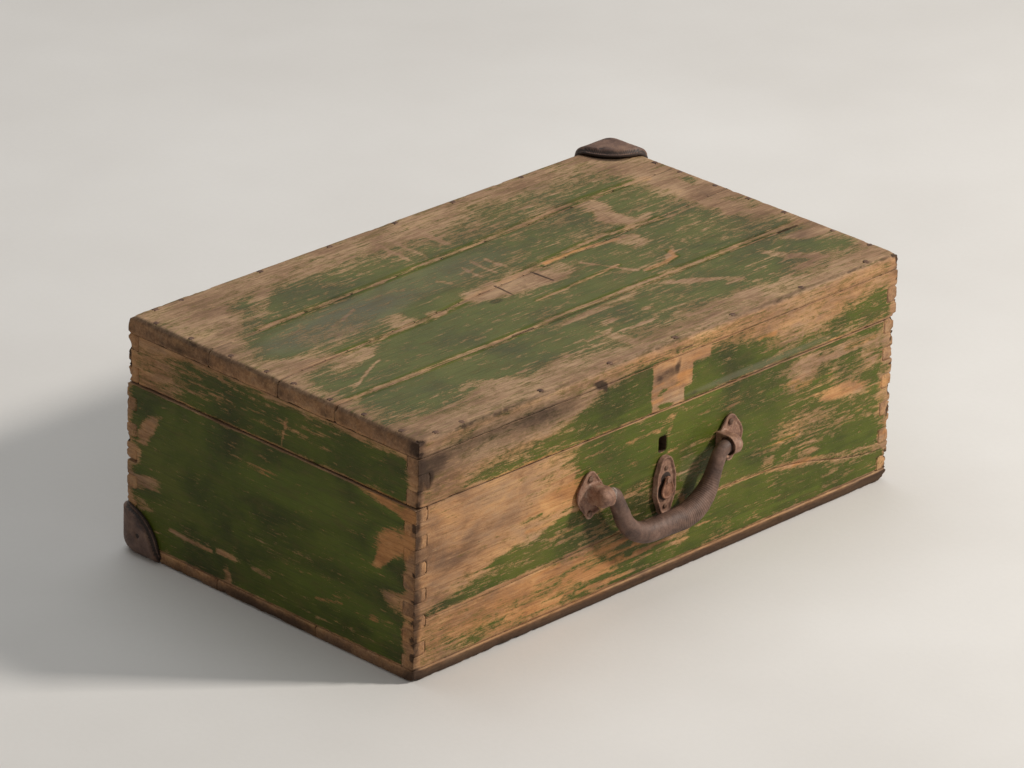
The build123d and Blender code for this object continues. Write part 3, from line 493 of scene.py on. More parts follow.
def front_fields(true_x, true_z):
    """Cover, dirt and tone on the front of the lid and of the box."""
    on_lid = true_z > SEAM_Z - 0.5
    x, z = wander(true_x, true_z, 91)
    # Lid rim: paint reaches up to this height.
    reach = edge_line([(-300, 150), (-262, 160), (-250, 172), (-200, 177), (-150, 179), (-118, 182),
        (-100, 190), (-84, 198), (-60, 206), (-16, 208), (36, 204), (80, 199), (112, 192), (130, 184),
        (180, 182), (215, 184), (240, 190), (290, 194), (300, 186)], x)
    cover_share = edge_line([(-300, 0.1), (-262, 0.3), (-200, 0.75), (-130, 0.95), (100, 1.05), (150, 0.82),
        (230, 0.72), (300, 0.74)], x)
    lid_cover = ease(reach - z, -9, 10) * 0.95 * cover_share
    # Bare ghost of the missing hasp, with a few remains of paint in it.
    for low, high in (((-16, 160), (24, 206)), ((20, 176), (34, 206)), ((30, 196), (56, 206))):
        lid_cover = panel(true_x + 0.12 * (x - true_x), true_z + 0.12 * (z - true_z), lid_cover,
                          low, high, -1.3)
    lid_cover = blobs(x, z, lid_cover, [(-3, 164, 11, 2.2, 1.5), (3, 178, 7, 2.0, 1.1, 15),
        (60, 172, 20, 8, 0.1), (170, 176, 40, 7, -0.15), (250, 188, 46, 7, 0.1), (-130, 166, 26, 3, -0.2),
        (-150, 172, 44, 10, -0.16), (250, 166, 50, 9, -0.16), (130, 212, 90, 5, 0.12)])
    # Box front: the left third is mostly bare, and so is the left of the lower board.
    start = edge_line([(57, -300), (62, -292), (68, -250), (76, -226), (84, -205), (90, -150), (97, -112),
        (104, -108), (112, -118), (120, -128), (128, -120), (136, -116), (146, -110), (160, -106)], z)
    joint = edge_line(FRONT_JOINT, x)
    upper = ease(x - start, -22, 20) * 0.92 - 0.35 * ease(x - start, -26, -60)
    lower = edge_line([(-300, 0.05), (-250, 0.12), (-160, 0.3), (-60, 0.5), (-20, 0.8), (20, 0.98),
        (300, 0.94)], x)
    body_cover = np.where(true_z > joint, upper, lower)
    body_cover = blobs(x, z, body_cover, [(-225, 22, 30, 7, 0.3, 4), (-250, 66, 40, 6, -0.25, 2),
        (-180, 82, 60, 14, -0.3, 2), (-120, 118, 34, 9, -0.35, 6), (-170, 105, 40, 9, 0.1, 2),
        (225, 90, 70, 26, -0.3), (250, 57, 46, 12, 0.22), (-60, 22, 60, 12, 0.22), (172, 56, 24, 12, -0.32),
        (0, 92, 48, 12, -0.24), (172, 96, 24, 14, -0.2), (-25, 20, 26, 11, 0.28), (75, 20, 26, 11, -0.22),
        (20, 132, 70, 12, 0.1), (190, 130, 46, 12, -0.18), (-205, 50, 60, 9, -0.25),
        (228, 149, 74, 8, -0.72), (178, 136, 26, 10, -0.42), (272, 132, 22, 12, -0.35),
        (232, 109, 32, 6, -0.85, -4), (255, 122, 28, 5, -0.35), (290, 100, 6, 50, -0.5),
        (134, 67, 11, 4, -0.7), (200, 62, 9, 3, -0.6), (7, 152, 7, 5, -0.6), (10, 141, 3, 6, -0.6, -30),
        (24, 70, 5, 5, -0.7), (28, 29, 10, 5, -0.6), (60, 45, 40, 5, -0.2, 5), (180, 90, 40, 8, -0.16),
        (215, 44, 70, 3, -0.3, -10), (-60, 70, 30, 6, -0.25), (40, 90, 10, 14, -0.1),
        (-95, 104, 14, 12, -0.55), (-84, 92, 16, 4, -0.4)])
    x, z = true_x + 0.2 * (x - true_x), true_z + 0.2 * (z - true_z)
    body_cover = strokes(x, z, body_cover, [(FRONT_JOINT, 0.7, -0.6),
        (((78, 63), (130, 61), (184, 56), (232, 46), (292, 38)), 1.6, -0.6),
        (((-260, 150), (-180, 146), (-110, 148)), 0.8, 0.2)])
    body_cover = scratches(x, z, body_cover, 11, 60, (-130, 290), (64, 156), (8, 60), (0.2, 0.9), -0.65)
    body_cover = scratches(x, z, body_cover, 12, 52, (-190, 10), (14, 56), (16, 80), (0.4, 1.3), -0.75)
    body_cover = scratches(x, z, body_cover, 13, 22, (-290, -110), (64, 156), (10, 70), (0.4, 1.2), 0.35)
    body_cover = scratches(x, z, body_cover, 14, 26, (0, 290), (14, 40), (8, 40), (0.2, 0.9), -0.55)
    body_cover = scratches(x, z, body_cover, 15, 24, (-160, -96), (108, 134), (16, 50), (0.4, 1.0),
                           -0.55, slope=6)
    cover = np.where(on_lid, lid_cover, body_cover)
    x, z = true_x, true_z
    cover = cover - 0.6 * ease(np.abs(z - SEAM_Z), 2.6, 0.5) - ease(np.abs(x), 289, 299)
    cover = np.where(z < BOTTOM_Z, -0.3, cover)

    dirt = 0.55 * ease(x, -284, -300) + 0.35 * ease(x, 288, 300) + 0.45 * ease(z, 16, 2)
    dirt = dirt + 0.3 * ease(z, 212, 222) + 0.22 * ease(z, 186, 205) * ease(x, -60, -120)
    dirt = blobs(x, z, dirt, [(-285, 184, 5, 8, 0.4), (-280, 196, 16, 10, 0.25), (-276, 170, 5, 8, 0.3),
        (-270, 130, 6, 10, 0.12), (-95, 105, 22, 20, 0.25), (83, 108, 20, 20, 0.25), (3, 88, 19, 30, 0.35),
        (-1, 129, 8, 10, 0.35), (60, 165, 30, 3, 0.3), (32, 166, 10, 5, 0.4), (-296, 90, 6, 80, 0.25),
        (-150, 140, 60, 10, 0.12), (4, 196, 22, 6, 0.2), (280, 8, 20, 8, 0.2), (-210, 190, 110, 26, 0.5),
        (-120, 202, 50, 12, 0.2), (160, 206, 140, 12, 0.5), (225, 146, 66, 14, 0.5), (230, 98, 60, 26, 0.4),
        (-20, 60, 60, 6, 0.15)])
    torn_x, torn_z = wander(true_x, true_z, 131)
    torn_x, torn_z = true_x + 0.5 * (torn_x - true_x), true_z + 0.5 * (torn_z - true_z)
    dirt = blobs(torn_x, torn_z, dirt, [(-82, 207, 7, 3.2, 0.8, -20), (-75, 203, 3, 5, 0.6, 20),
        (-60, 208, 20, 1.6, 0.4), (2, 192, 15, 7, 0.55, 10), (-2, 169, 13, 2.5, 0.5, 5),
        (-11, 190, 5, 6, 0.3), (16, 198, 3, 8, 0.35)])
    dirt = strokes(torn_x, torn_z, dirt, [(((-92, 210), (-60, 211.5), (-20, 212.5), (30, 213)), 0.5, 0.7)])
    dirt = strokes(x, z, dirt, [(FRONT_JOINT, 0.2, 0.4), (((-300, SEAM_Z), (300, SEAM_Z)), 0.3, 0.35)])
    dirt = dirt + 0.55 * ease(z, BOTTOM_Z + 0.5, BOTTOM_Z - 1)

    tone = np.full(x.shape, 0.62)
    tone = strokes(x, z, tone, [(((-215, 162.5), (-60, 163)), 0.6, 0.6)])
    tone = blobs(x, z, tone, [(24, 183, 9, 7, 0.2), (45, 200, 14, 5, 0.05), (232, 109, 34, 7, 0.15, -4),
        (250, 188, 60, 8, 0.05), (-120, 118, 44, 12, 0.25, 6), (130, 205, 160, 12, 0.05),
        (-190, 200, 130, 16, -0.22), (120, 166, 110, 4, -0.4), (-140, 35, 120, 22, 0.22),
        (0, 130, 110, 30, 0.16), (100, 34, 120, 20, 0.05), (-220, 120, 80, 30, 0.02),
        (220, 148, 80, 9, -0.1), (33, 98, 14, 18, -0.35)])
    tone = scratches(x, z, tone, 21, 40, (-150, 290), (20, 200), (12, 60), (0.5, 2.0), 0.3)
    return cover, dirt, tone


def left_fields(true_y, true_z):
    """Cover, dirt and tone on the left side, which keeps most of its paint."""
    on_lid = true_z > SEAM_Z - 0.5
    y, z = wander(true_y, true_z, 101)
    y, z = true_y + 0.6 * (y - true_y), true_z + 0.6 * (z - true_z)
    lid_cover = edge_line([(-178, 0.1), (-172, 0.7), (-160, 1.0), (80, 1.0), (110, 0.55), (132, 0.15),
        (178, 0.0)], y)
    lid_cover = lid_cover - 0.9 * ease(z, 196, 205)
    lid_cover = strokes(y, z, lid_cover, [(((-12, 165), (-16, 178), (-22, 190)), 0.9, -0.8)])
    lid_cover = scratches(y, z, lid_cover, 31, 34, (-70, 130), (176, 199), (10, 60), (0.1, 0.6), -0.55)
    body_cover = np.full(y.shape, 1.05)
    body_cover = blobs(y, z, body_cover, [(150, 123, 19, 8, -1.3, 132), (168, 96, 8, 9, -1.0),
        (156, 71, 19, 7, -1.0, -12), (160, 50, 16, 5, -0.7, 10), (-150, 122, 21, 11, -1.3, -22),
        (-137, 107, 15, 6, -1.3, -60), (-158, 70, 13, 9, -1.0), (-146, 155, 32, 5, -1.0, 6),
        (-128, 45, 6, 4, -0.8), (47, 20, 11, 5, -0.9, 80), (47, 40, 12, 3, -0.7), (-168, 42, 6, 10, -0.8),
        (13, 134, 24, 3, -0.35), (-40, 60, 40, 4, -0.2)])
    y, z = true_y, true_z
    body_cover = strokes(y, z, body_cover, [(((122, 38), (98, 36), (70, 36)), 1.4, -1.0),
        (((62, 38), (40, 38)), 1.5, -0.7), (((18, 37), (-4, 37)), 0.9, -0.9),
        (((-58, 38), (-92, 44)), 0.8, -0.8), (((-84, 25), (-148, 22)), 0.6, -0.6),
        (((-20, 24), (-88, 20)), 0.5, -0.5)])
    body_cover = scratches(y, z, body_cover, 32, 44, (-165, 165), (14, 154), (8, 44), (0.1, 0.5), -0.5)
    cover = np.where(on_lid, lid_cover, body_cover)
    cover = cover - 0.8 * ease(np.abs(z - SEAM_Z), 3.0, 0.5) - 1.2 * ease(y, -160, -172)
    cover = cover - ease(y, 164, 176)
    cover = np.where((z < BOTTOM_Z) | (z > 206), -0.3, cover)

    dirt = 0.12 + 0.5 * ease(z, 18, 2) + 0.35 * ease(y, -158, -176)
    dirt = dirt + 0.38 * ease(z, 204, 210)
    dirt = blobs(y, z, dirt, [(120, 190, 60, 20, 0.36), (140, 70, 30, 40, 0.15), (0, 8, 60, 8, 0.2),
        (-150, 122, 21, 11, -0.4, -22), (-146, 155, 32, 5, -0.35, 6), (-137, 107, 15, 6, -0.35, -60)])
    tone = np.full(y.shape, 0.66)
    tone = blobs(y, z, tone, [(-50, 128, 64, 16, 0.34), (-100, 92, 40, 14, 0.22), (-80, 50, 60, 13, 0.3),
        (-140, 40, 24, 10, 0.22), (20, 120, 50, 12, 0.14), (-150, 122, 26, 14, 0.45, -22),
        (-146, 155, 34, 8, 0.45, 6), (-137, 107, 18, 8, 0.4, -60), (60, 75, 60, 30, -0.08),
        (-60, 180, 80, 12, 0.04)])
    return cover, dirt, tone


def plain_side_fields(u, z, seed, half):
    """The two hidden sides: painted like the rest, worn at their edges and scratched along the grain."""
    on_lid = z > SEAM_Z - 0.5
    points = np.stack([u, z, np.full(u.shape, 3.0 * seed)], 1)
    cover = 0.98 - 0.8 * ease(fbm(points, (90, 34, 40), seed, 5), 0.54, 0.72)
    cover = cover - 0.8 * ease(fbm(points, (220, 60, 40), seed + 5, 5), 0.55, 0.74)
    cover = cover - 1.1 * ease(np.abs(u), half - 16, half - 4)
    cover = cover - 0.8 * ease(np.abs(z - SEAM_Z), 3.5, 0.5) - 0.8 * ease(z, 196, 207)
    cover = scratches(u, z, cover, seed, 60, (-half + 10, half - 10), (16, 200), (8, 60), (0.2, 1.0), -0.7)
    cover = np.where(z < BOTTOM_Z, -0.3, cover)
    dirt = 0.22 + 0.4 * ease(z, 20, 2) + 0.35 * ease(np.abs(u), half - 10, half)
    dirt = dirt + 0.2 * ease(z, 206, 212) + 0.15 * on_lid
    tone = 0.42 + 0.35 * fbm(points, (120, 50, 40), seed + 9)
    return cover, dirt, tone


def wear_values(place, normal):
    """Paint cover, dirt and tone at points of the boards, from the face each one belongs to."""
    x, y, z = place.T
    near = 6.0
    faces = [
        (normal[:, 2], TOP_Z - z, lambda: top_fields(x, y)),
        (-normal[:, 1], y - FRONT, lambda: front_fields(x, z)),
        (-normal[:, 0], x - LEFT, lambda: left_fields(y, z)),
        (normal[:, 0], RIGHT - x, lambda: plain_side_fields(y, z, 51, BACK)),
        (normal[:, 1], BACK - y, lambda: plain_side_fields(x, z, 61, RIGHT)),
    ]
    weights = [np.clip(n, 0, 1) ** 2 * (depth < near) for n, depth, field in faces]
    total = sum(weights)
    values = np.zeros((3, len(x)))
    for weight, (n, depth, field) in zip(weights, faces):
        if weight.any():
            values += weight * np.stack(field())
    inner = np.stack([np.full(x.shape, -0.3),
                      0.22 + 0.35 * ease(fbm(place, 60, 71), 0.5, 0.7) + 0.25 * ease(z, 30, 12),
                      np.full(x.shape, 0.34)])
    share = np.clip(total, 0, 1)
    values = np.where(total > 0.2, values / np.maximum(total, 1e-6), inner)
    values[0] = values[0] * ease(share, 0.2, 0.45) - 0.3 * ease(share, 0.45, 0.2)
    # The staple slot and the keyhole are painted dark inside through the dirt value: painted shade in the
    # holes.
    slot = (np.abs(x - STAPLE_X) < 6.5) & (np.abs(z - STAPLE_Z) < 9)
    keyhole = (np.abs(x - LOCK_X) < 6) & (np.abs(z - KEYHOLE_Z) < 9)
    values[1] = np.where((slot | keyhole) & (y > FRONT + 0.7) & (y < FRONT + 15), 1.3, values[1])
    return values


# ------------------------------------------------------------------ mesh helpers
def new_piece(name, mesh, body, slot, material, *replaced):
    piece = bpy.data.objects.new(name, mesh)
    bpy.context.scene.collection.objects.link(piece)
    mesh.materials.clear()
    mesh.materials.append(material)
    mesh.polygons.foreach_set("use_smooth", np.ones(len(mesh.polygons), bool))
    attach(piece, body)
    if replaced:
        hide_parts(*replaced)
    return piece


def welded_copy(node):
    """The node's mesh as a bmesh with coincident vertices merged."""
    work = bmesh.new()
    work.from_mesh(nodes[node].data)
    bmesh.ops.remove_doubles(work, verts=work.verts, dist=WELD_DISTANCE)
    return work


def remeshed(work, voxel, name):
    """Even closed mesh round everything in a bmesh, which is freed afterwards."""
    raw = bpy.data.meshes.new(name + "_raw")
    work.to_mesh(raw)
    work.free()
    holder = bpy.data.objects.new(name + "_raw", raw)
    bpy.context.scene.collection.objects.link(holder)
    modifier = holder.modifiers.new("even", "REMESH")
    modifier.mode = "VOXEL"
    modifier.voxel_size = voxel * MM
    graph = bpy.context.evaluated_depsgraph_get()
    mesh = bpy.data.meshes.new_from_object(holder.evaluated_get(graph))
    bpy.data.objects.remove(holder)
    bpy.data.meshes.remove(raw)
    mesh.name = name
    return mesh


def read_mesh(mesh):
    """Places in millimetres and normals of a mesh's vertices."""
    count = len(mesh.vertices)
    place = np.empty(count * 3, np.float32)
    mesh.vertices.foreach_get("co", place)
    normal = np.empty(count * 3, np.float32)
    mesh.vertex_normals.foreach_get("vector", normal)
    return place.reshape(-1, 3).astype(float) / MM, normal.reshape(-1, 3).astype(float)


def write_mesh(mesh, place):
    mesh.vertices.foreach_set("co", (place * MM).astype(np.float32).ravel())
    mesh.update()


def write_wear(mesh, values):
    """Store three rows of numbers as the mesh's wear colour."""
    colour = np.ones((len(mesh.vertices), 4), np.float32)
    colour[:, :3] = np.stack(values, 1)
    attribute = mesh.attributes.new("wear", "FLOAT_COLOR", "POINT")
    attribute.data.foreach_set("color", colour.ravel())


def relaxed(mesh, place, rounds, share=0.5):
    """Vertices moved towards the mean of their neighbours."""
    edges = np.empty(len(mesh.edges) * 2, np.int32)
    mesh.edges.foreach_get("vertices", edges)
    a, b = edges.reshape(-1, 2).T
    degree = np.maximum(np.bincount(a, minlength=len(place)) + np.bincount(b, minlength=len(place)), 1)
    for _ in range(rounds):
        total = np.zeros_like(place)
        for axis in range(3):
            total[:, axis] = (np.bincount(a, place[b, axis], len(place))
                              + np.bincount(b, place[a, axis], len(place)))
        place = place * (1 - share) + total / degree[:, None] * share
    return place


def crisp(node, place, reach):
    """Points within reach of one of the node's sharp edges moved onto that edge."""
    work = welded_copy(node)
    samples = []
    for edge in work.edges:
        if len(edge.link_faces) == 2 and edge.calc_face_angle(0) > 0.6:
            start, end = (np.array(v.co) / MM for v in edge.verts)
            pieces = max(1, int(np.linalg.norm(end - start) / 0.4))
            samples.append(start + (end - start) * np.linspace(0, 1, pieces + 1)[:, None])
    work.free()
    samples = np.concatenate(samples)
    tree = KDTree(len(samples))
    for index, sample in enumerate(samples):
        tree.insert(sample, index)
    tree.balance()
    moved = place.copy()
    for index, point in enumerate(place):
        near, which, distance = tree.find(point)
        if distance < reach:
            moved[index] = near
    return moved


# ------------------------------------------------------------------ boards
def worn_board(node, body, along, voxel, paint_slot="painted_wood"):
    """A board with rounded arrises, chips, shallow grain and its share of the paint."""
    mesh = remeshed(welded_copy(node), voxel, node + "_worn")
    place, normal = read_mesh(mesh)
    place = crisp(node, place, 0.62 * voxel)
    low, high = (np.array(c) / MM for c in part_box(node))
    walls = np.sort(np.concatenate([place - low, high - place], 1), axis=1)
    edge = walls[:, 1]
    x, y, z = place.T
    left, right = (LID_LEFT, LID_RIGHT) if body == "lid" else (LEFT, RIGHT)
    skins = np.sort(np.stack([np.minimum(x - left, right - x), np.minimum(y - FRONT, BACK - y),
                              np.minimum(TOP_Z - z, z)], 1), axis=1)
    arris, corner = skins[:, 1], skins[:, 2]
    rough = fbm(place, 9, SEED)
    broad = fbm(place, 46, SEED + 3)
    grain_size = [4.0, 4.0, 4.0]
    grain_size[along] = 90.0
    ridges = fbm(place, grain_size, SEED + 6, 2)
    depth = 0.3 * ridges + 0.35 * broad
    chip = ease(0.6 * rough + 0.4 * fbm(place, 24, SEED + 9), 0.55, 0.7)
    depth += 0.15 * ease(edge, 2.0, 0.2) * rough + 0.5 * ease(edge, 3.0, 0.3) * chip
    hardness = 0.35 if node.startswith("bottom_plank") else 1.0
    depth += hardness * (0.9 * ease(arris, 4.5, 0.5) * rough + 1.8 * ease(arris, 5.5, 0.5) * chip)
    depth += 1.4 * ease(corner, 10.0, 1.0)
    # Small deep splinters are gone from the upright corners, where the fingers meet.
    upright = ease(np.maximum(np.minimum(x - left, right - x), np.minimum(y - FRONT, BACK - y)), 9, 6)
    pit = ease(fbm(place, (7, 7, 5), SEED + 15, 2), 0.64, 0.72) * upright * ease(arris, 6, 2)
    depth += 1.5 * pit
    # The tips of the end boards' fingers stand back a little, each by its own amount.
    if along == 1:
        tip = ease(np.abs(y), BACK - 2.5, BACK - 0.5)
        depth += tip * (0.1 + 0.35 * lattice(np.floor(z / FINGER_PITCH), np.sign(y), np.sign(x), 9))
    # The flanks of the fingers stay tight against each other.
    ends = np.maximum(np.minimum(x - left, right - x), np.minimum(y - FRONT, BACK - y))
    flank = ease(ends, 17, 14) * ease(np.minimum(z - low[2], high[2] - z), 1.0, 3.0)
    inward = normal.copy()
    inward[:, 2] *= 1 - flank
    write_mesh(mesh, place - inward * depth[:, None])
    values = wear_values(place, normal)
    # End grain takes up dirt and sheds its paint; chips along the outer arrises are black with age.
    end = np.abs(normal[:, along]) * ease(np.minimum(place - low, high - place)[:, along], 2.0, 0.6)
    values[0] -= 0.8 * end
    values[1] += end * (0.36 * fbm(place, 11, SEED + 12) - 0.06)
    values[1] += (0.9 * upright + 0.3) * chip * ease(arris, 5.0, 1.0)
    values[1] += 1.1 * pit
    write_wear(mesh, values)
    material = WOOD_X if along == 0 else WOOD_Y
    return new_piece(node + "_worn", mesh, body, paint_slot, material, node)


for board, along, voxel in (("front_upper_board", 0, FINE), ("front_lower_board", 0, FINE),
                            ("left_end_board", 1, FINE), ("right_end_board", 1, COARSE),
                            ("back_lower_board", 0, COARSE), ("back_upper_board", 0, COARSE)):
    worn_board(board, "box", along, voxel)
for plank in ("front", "middle", "back"):
    worn_board("bottom_plank_" + plank, "box", 0, COARSE, "bare_wood")
for board, along, voxel in (("lid_front_rail", 0, FINE), ("lid_left_rail", 1, FINE),
                            ("lid_right_rail", 1, COARSE), ("lid_back_rail", 0, COARSE),
                            ("lid_plank_1", 0, FINE), ("lid_plank_2", 0, FINE),
                            ("lid_plank_3", 0, FINE), ("lid_plank_4", 0, FINE)):
    worn_board(board, "lid", along, voxel)


# ------------------------------------------------------------------ tubes and sweeps
def tube(work, points, radius, closed=False, sides=10):
    """Add a tube along points (millimetres) to a bmesh; its radius is one number or one per point."""
    points = [Vector(p) for p in points]
    count = len(points)
    radii = [radius] * count if isinstance(radius, (int, float)) else radius
    rings = []
    side = None
    for i, point in enumerate(points):
        before = points[i - 1] if i or closed else points[i]
        after = points[(i + 1) % count] if i + 1 < count or closed else points[i]
        ahead = (after - before).normalized()
        if side is None:
            side = ahead.orthogonal().normalized()
        side = (side - ahead * side.dot(ahead)).normalized()
        up = ahead.cross(side)
        ring = []
        for k in range(sides):
            turn = 2 * math.pi * k / sides
            offset = side * math.cos(turn) + up * math.sin(turn)
            ring.append(work.verts.new((point + offset * radii[i]) * MM))
        rings.append(ring)
    pairs = list(zip(rings[:-1], rings[1:]))
    if closed:
        pairs.append((rings[-1], rings[0]))
    for first, second in pairs:
        for k in range(sides):
            work.faces.new((first[k], first[(k + 1) % sides], second[(k + 1) % sides], second[k]))
    if not closed:
        work.faces.new(rings[0][::-1])
        work.faces.new(rings[-1])


def ball(work, centre, radii):
    """Add a closed ellipsoid to a bmesh."""
    made = bmesh.ops.create_icosphere(work, subdivisions=3, radius=1.0)
    for vertex in made["verts"]:
        vertex.co = Vector(centre) * MM + Vector([c * r * MM for c, r in zip(vertex.co, radii)])


def hull_outline(circles, samples=48):
    """Convex outline round circles (u, v, radius), as an ordered loop of points."""
    points = []
    for u, v, r in circles:
        for k in range(samples):
            turn = 2 * math.pi * k / samples
            points.append((u + r * math.cos(turn), v + r * math.sin(turn)))
    points = sorted(set(points))

    def half(sequence):
        chain = []
        for p in sequence:
            while len(chain) > 1 and ((chain[-1][0] - chain[-2][0]) * (p[1] - chain[-2][1])
                                      - (chain[-1][1] - chain[-2][1]) * (p[0] - chain[-2][0])) <= 0:
                chain.pop()
            chain.append(p)
        return chain[:-1]

    loop = half(points) + half(points[::-1])
    loop = np.array(loop + loop[:1])
    run = np.concatenate([[0], np.cumsum(np.hypot(*np.diff(loop, axis=0).T))])
    at = np.linspace(0, run[-1], 97)[:-1]
    return [(np.interp(t, run, loop[:, 0]), np.interp(t, run, loop[:, 1])) for t in at]


def slab(work, outline, out_near, out_far):
    """Add a closed plate with an outline in X and Z, between two distances in front of the front wall."""
    near = [work.verts.new((u * MM, (FRONT - out_near) * MM, v * MM)) for u, v in outline]
    far = [work.verts.new((u * MM, (FRONT - out_far) * MM, v * MM)) for u, v in outline]
    count = len(outline)
    for k in range(count):
        work.faces.new((near[k], near[(k + 1) % count], far[(k + 1) % count], far[k]))
    work.faces.new(near[::-1])
    work.faces.new(far)


def cast_piece(work, voxel, name, rounds, bumps, body, slot, material, *replaced, back=None, dirt=None):
    """Fuse closed shapes into one softened piece with an uneven skin; dirt is a function of the places,
    which on the escutcheon plate gives painted shade round the keyhole cover.
    """
    mesh = remeshed(work, voxel, name)
    place, normal = read_mesh(mesh)
    smooth = relaxed(mesh, place, rounds)
    broad = relaxed(mesh, smooth, 14)
    crest = np.einsum("ij,ij->i", smooth - broad, normal)
    smooth = smooth - normal * (bumps * fbm(place, 4.0, 23, 4))[:, None]
    if back is not None:
        smooth[:, 1] = np.minimum(smooth[:, 1], back)
    write_mesh(mesh, smooth)
    count = len(place)
    # Dirt of the piece, with painted shade round the keyhole cover on the escutcheon plate.
    soil_and_shade = np.full(count, 0.15) if dirt is None else dirt(place)
    soil_and_shade = soil_and_shade + 0.5 * ease(crest, -0.25, -0.6)
    write_wear(mesh, (np.clip(0.5 + crest * 1.2, 0, 1), soil_and_shade, np.full(count, 0.2)))
    return new_piece(name, mesh, body, slot, material, *replaced)


# ------------------------------------------------------------------ corner caps
def worn_cap(node, corner, sides, body, spread, shift, nail):
    """Two layers of leather: a full dome on a thin lower leaf that shows as a strip round its edge."""
    mesh = remeshed(welded_copy(node), 0.8, node + "_worn")
    place, normal = read_mesh(mesh)
    smooth = relaxed(mesh, place, 2)
    out = np.array(sides) / math.sqrt(3)
    gap = np.linalg.norm(place - np.array(corner), axis=1)
    outer = ease(normal @ out, 0.1, 0.35)
    to_nail = np.linalg.norm(place - np.array(nail), axis=1)
    dome = 3.4 * ease(gap, CAP_REACH, CAP_REACH - 1.6) - ease(gap, CAP_REACH - 1.2, CAP_REACH)
    dome = dome - 1.2 * ease(to_nail, 3.6, 1.6)
    smooth = smooth + normal * (outer * dome - 0.5 * fbm(place, 13, 31, 3))[:, None]
    smooth = np.array(corner) + np.array(shift) + (smooth - np.array(corner)) * spread
    smooth[:, 2] = np.maximum(smooth[:, 2], 0.1)
    write_mesh(mesh, smooth)
    step = ease(np.abs(gap - CAP_REACH + 0.4), 0.8, 0.3)
    rim = ease(gap, CAP_REACH + 2.4, CAP_REACH + 2.9)
    dirt = 0.12 + 0.9 * np.maximum(step, rim) + 0.25 * ease(fbm(place, 8, 37, 3), 0.55, 0.75)
    dirt += 0.8 * ease(to_nail, 2.6, 1.4)
    worn = 0.5 + 0.7 * (fbm(place, (12, 12, 5), 33, 3) - 0.5)
    write_wear(mesh, (np.clip(worn, 0, 1), dirt, np.full(len(place), 0.12)))
    return new_piece(node + "_worn", mesh, body, "corner_leather", CAP, node)


worn_cap("corner_cap_bottom", (LEFT, BACK, 1.6), (-1, 1, -1), "box", 1.06, (0, 0.5, 0),
         (LEFT - 3, BACK - 20, 20))
worn_cap("corner_cap_top", (LID_RIGHT, BACK, TOP_Z), (1, 1, 1), "lid", 1.1, (2.0, 0.5, 0.8),
         (LID_RIGHT - 31, BACK - 18, TOP_Z + 3))

# ------------------------------------------------------------------ bail and grip
HANDLE_X, PIVOT_Z, PIVOT_OUT = -5.0, 111.0, 15.0
PIVOT_Y = FRONT - PIVOT_OUT
HALF_SPAN = 88.0
LEFT_MOUTH, RIGHT_MOUTH = 78.0, 71.0
BAIL_CORNERS = [(-88, 0), (-72, 0), (-48, -51), (40, -51), (63, 0), (81, 0)]
BAIL_BENDS = (7, 42, 42, 8)


def rounded_path(corners, bends, step):
    """Evenly spaced points along a path whose inner corners are rounded by arcs."""
    points = [np.array(corners[0], float)]
    for before, at, after, radius in zip(corners[:-2], corners[1:-1], corners[2:], bends):
        before, at, after = (np.array(p, float) for p in (before, at, after))
        back = (before - at) / np.linalg.norm(before - at)
        ahead = (after - at) / np.linalg.norm(after - at)
        half = math.acos(float(np.clip(back @ ahead, -1, 1))) / 2
        reach = radius / math.tan(half)
        middle = at + (back + ahead) / np.linalg.norm(back + ahead) * radius / math.sin(half)
        start, end = at + back * reach - middle, at + ahead * reach - middle
        turn = math.atan2(start[0] * end[1] - start[1] * end[0], float(start @ end))
        for k in range(25):
            a = turn * k / 24
            points.append(middle + np.array([start[0] * math.cos(a) - start[1] * math.sin(a),
                                             start[0] * math.sin(a) + start[1] * math.cos(a)]))
    points.append(np.array(corners[-1], float))
    points = np.array(points)
    run = np.concatenate([[0], np.cumsum(np.hypot(*np.diff(points, axis=0).T))])
    at = np.arange(0, run[-1], step)
    return np.stack([np.interp(at, run, points[:, 0]), np.interp(at, run, points[:, 1])], 1), at / run[-1]


GRIP_STATIONS = [(0.038, 4.6), (0.043, 5.9), (0.051, 6.4), (0.083, 6.9), (0.128, 7.4), (0.189, 7.8), (0.252,
    8.3), (0.331, 9.0), (0.388, 9.7), (0.452, 10.2), (0.516, 10.5), (0.561, 10.7), (0.606, 11.1), (0.649,
    11.3), (0.69, 10.9), (0.734, 9.9), (0.774, 8.7), (0.814, 7.7), (0.859, 7.1), (0.904, 6.8), (0.943, 6.5),
    (0.957, 6.0), (0.961, 4.6)]


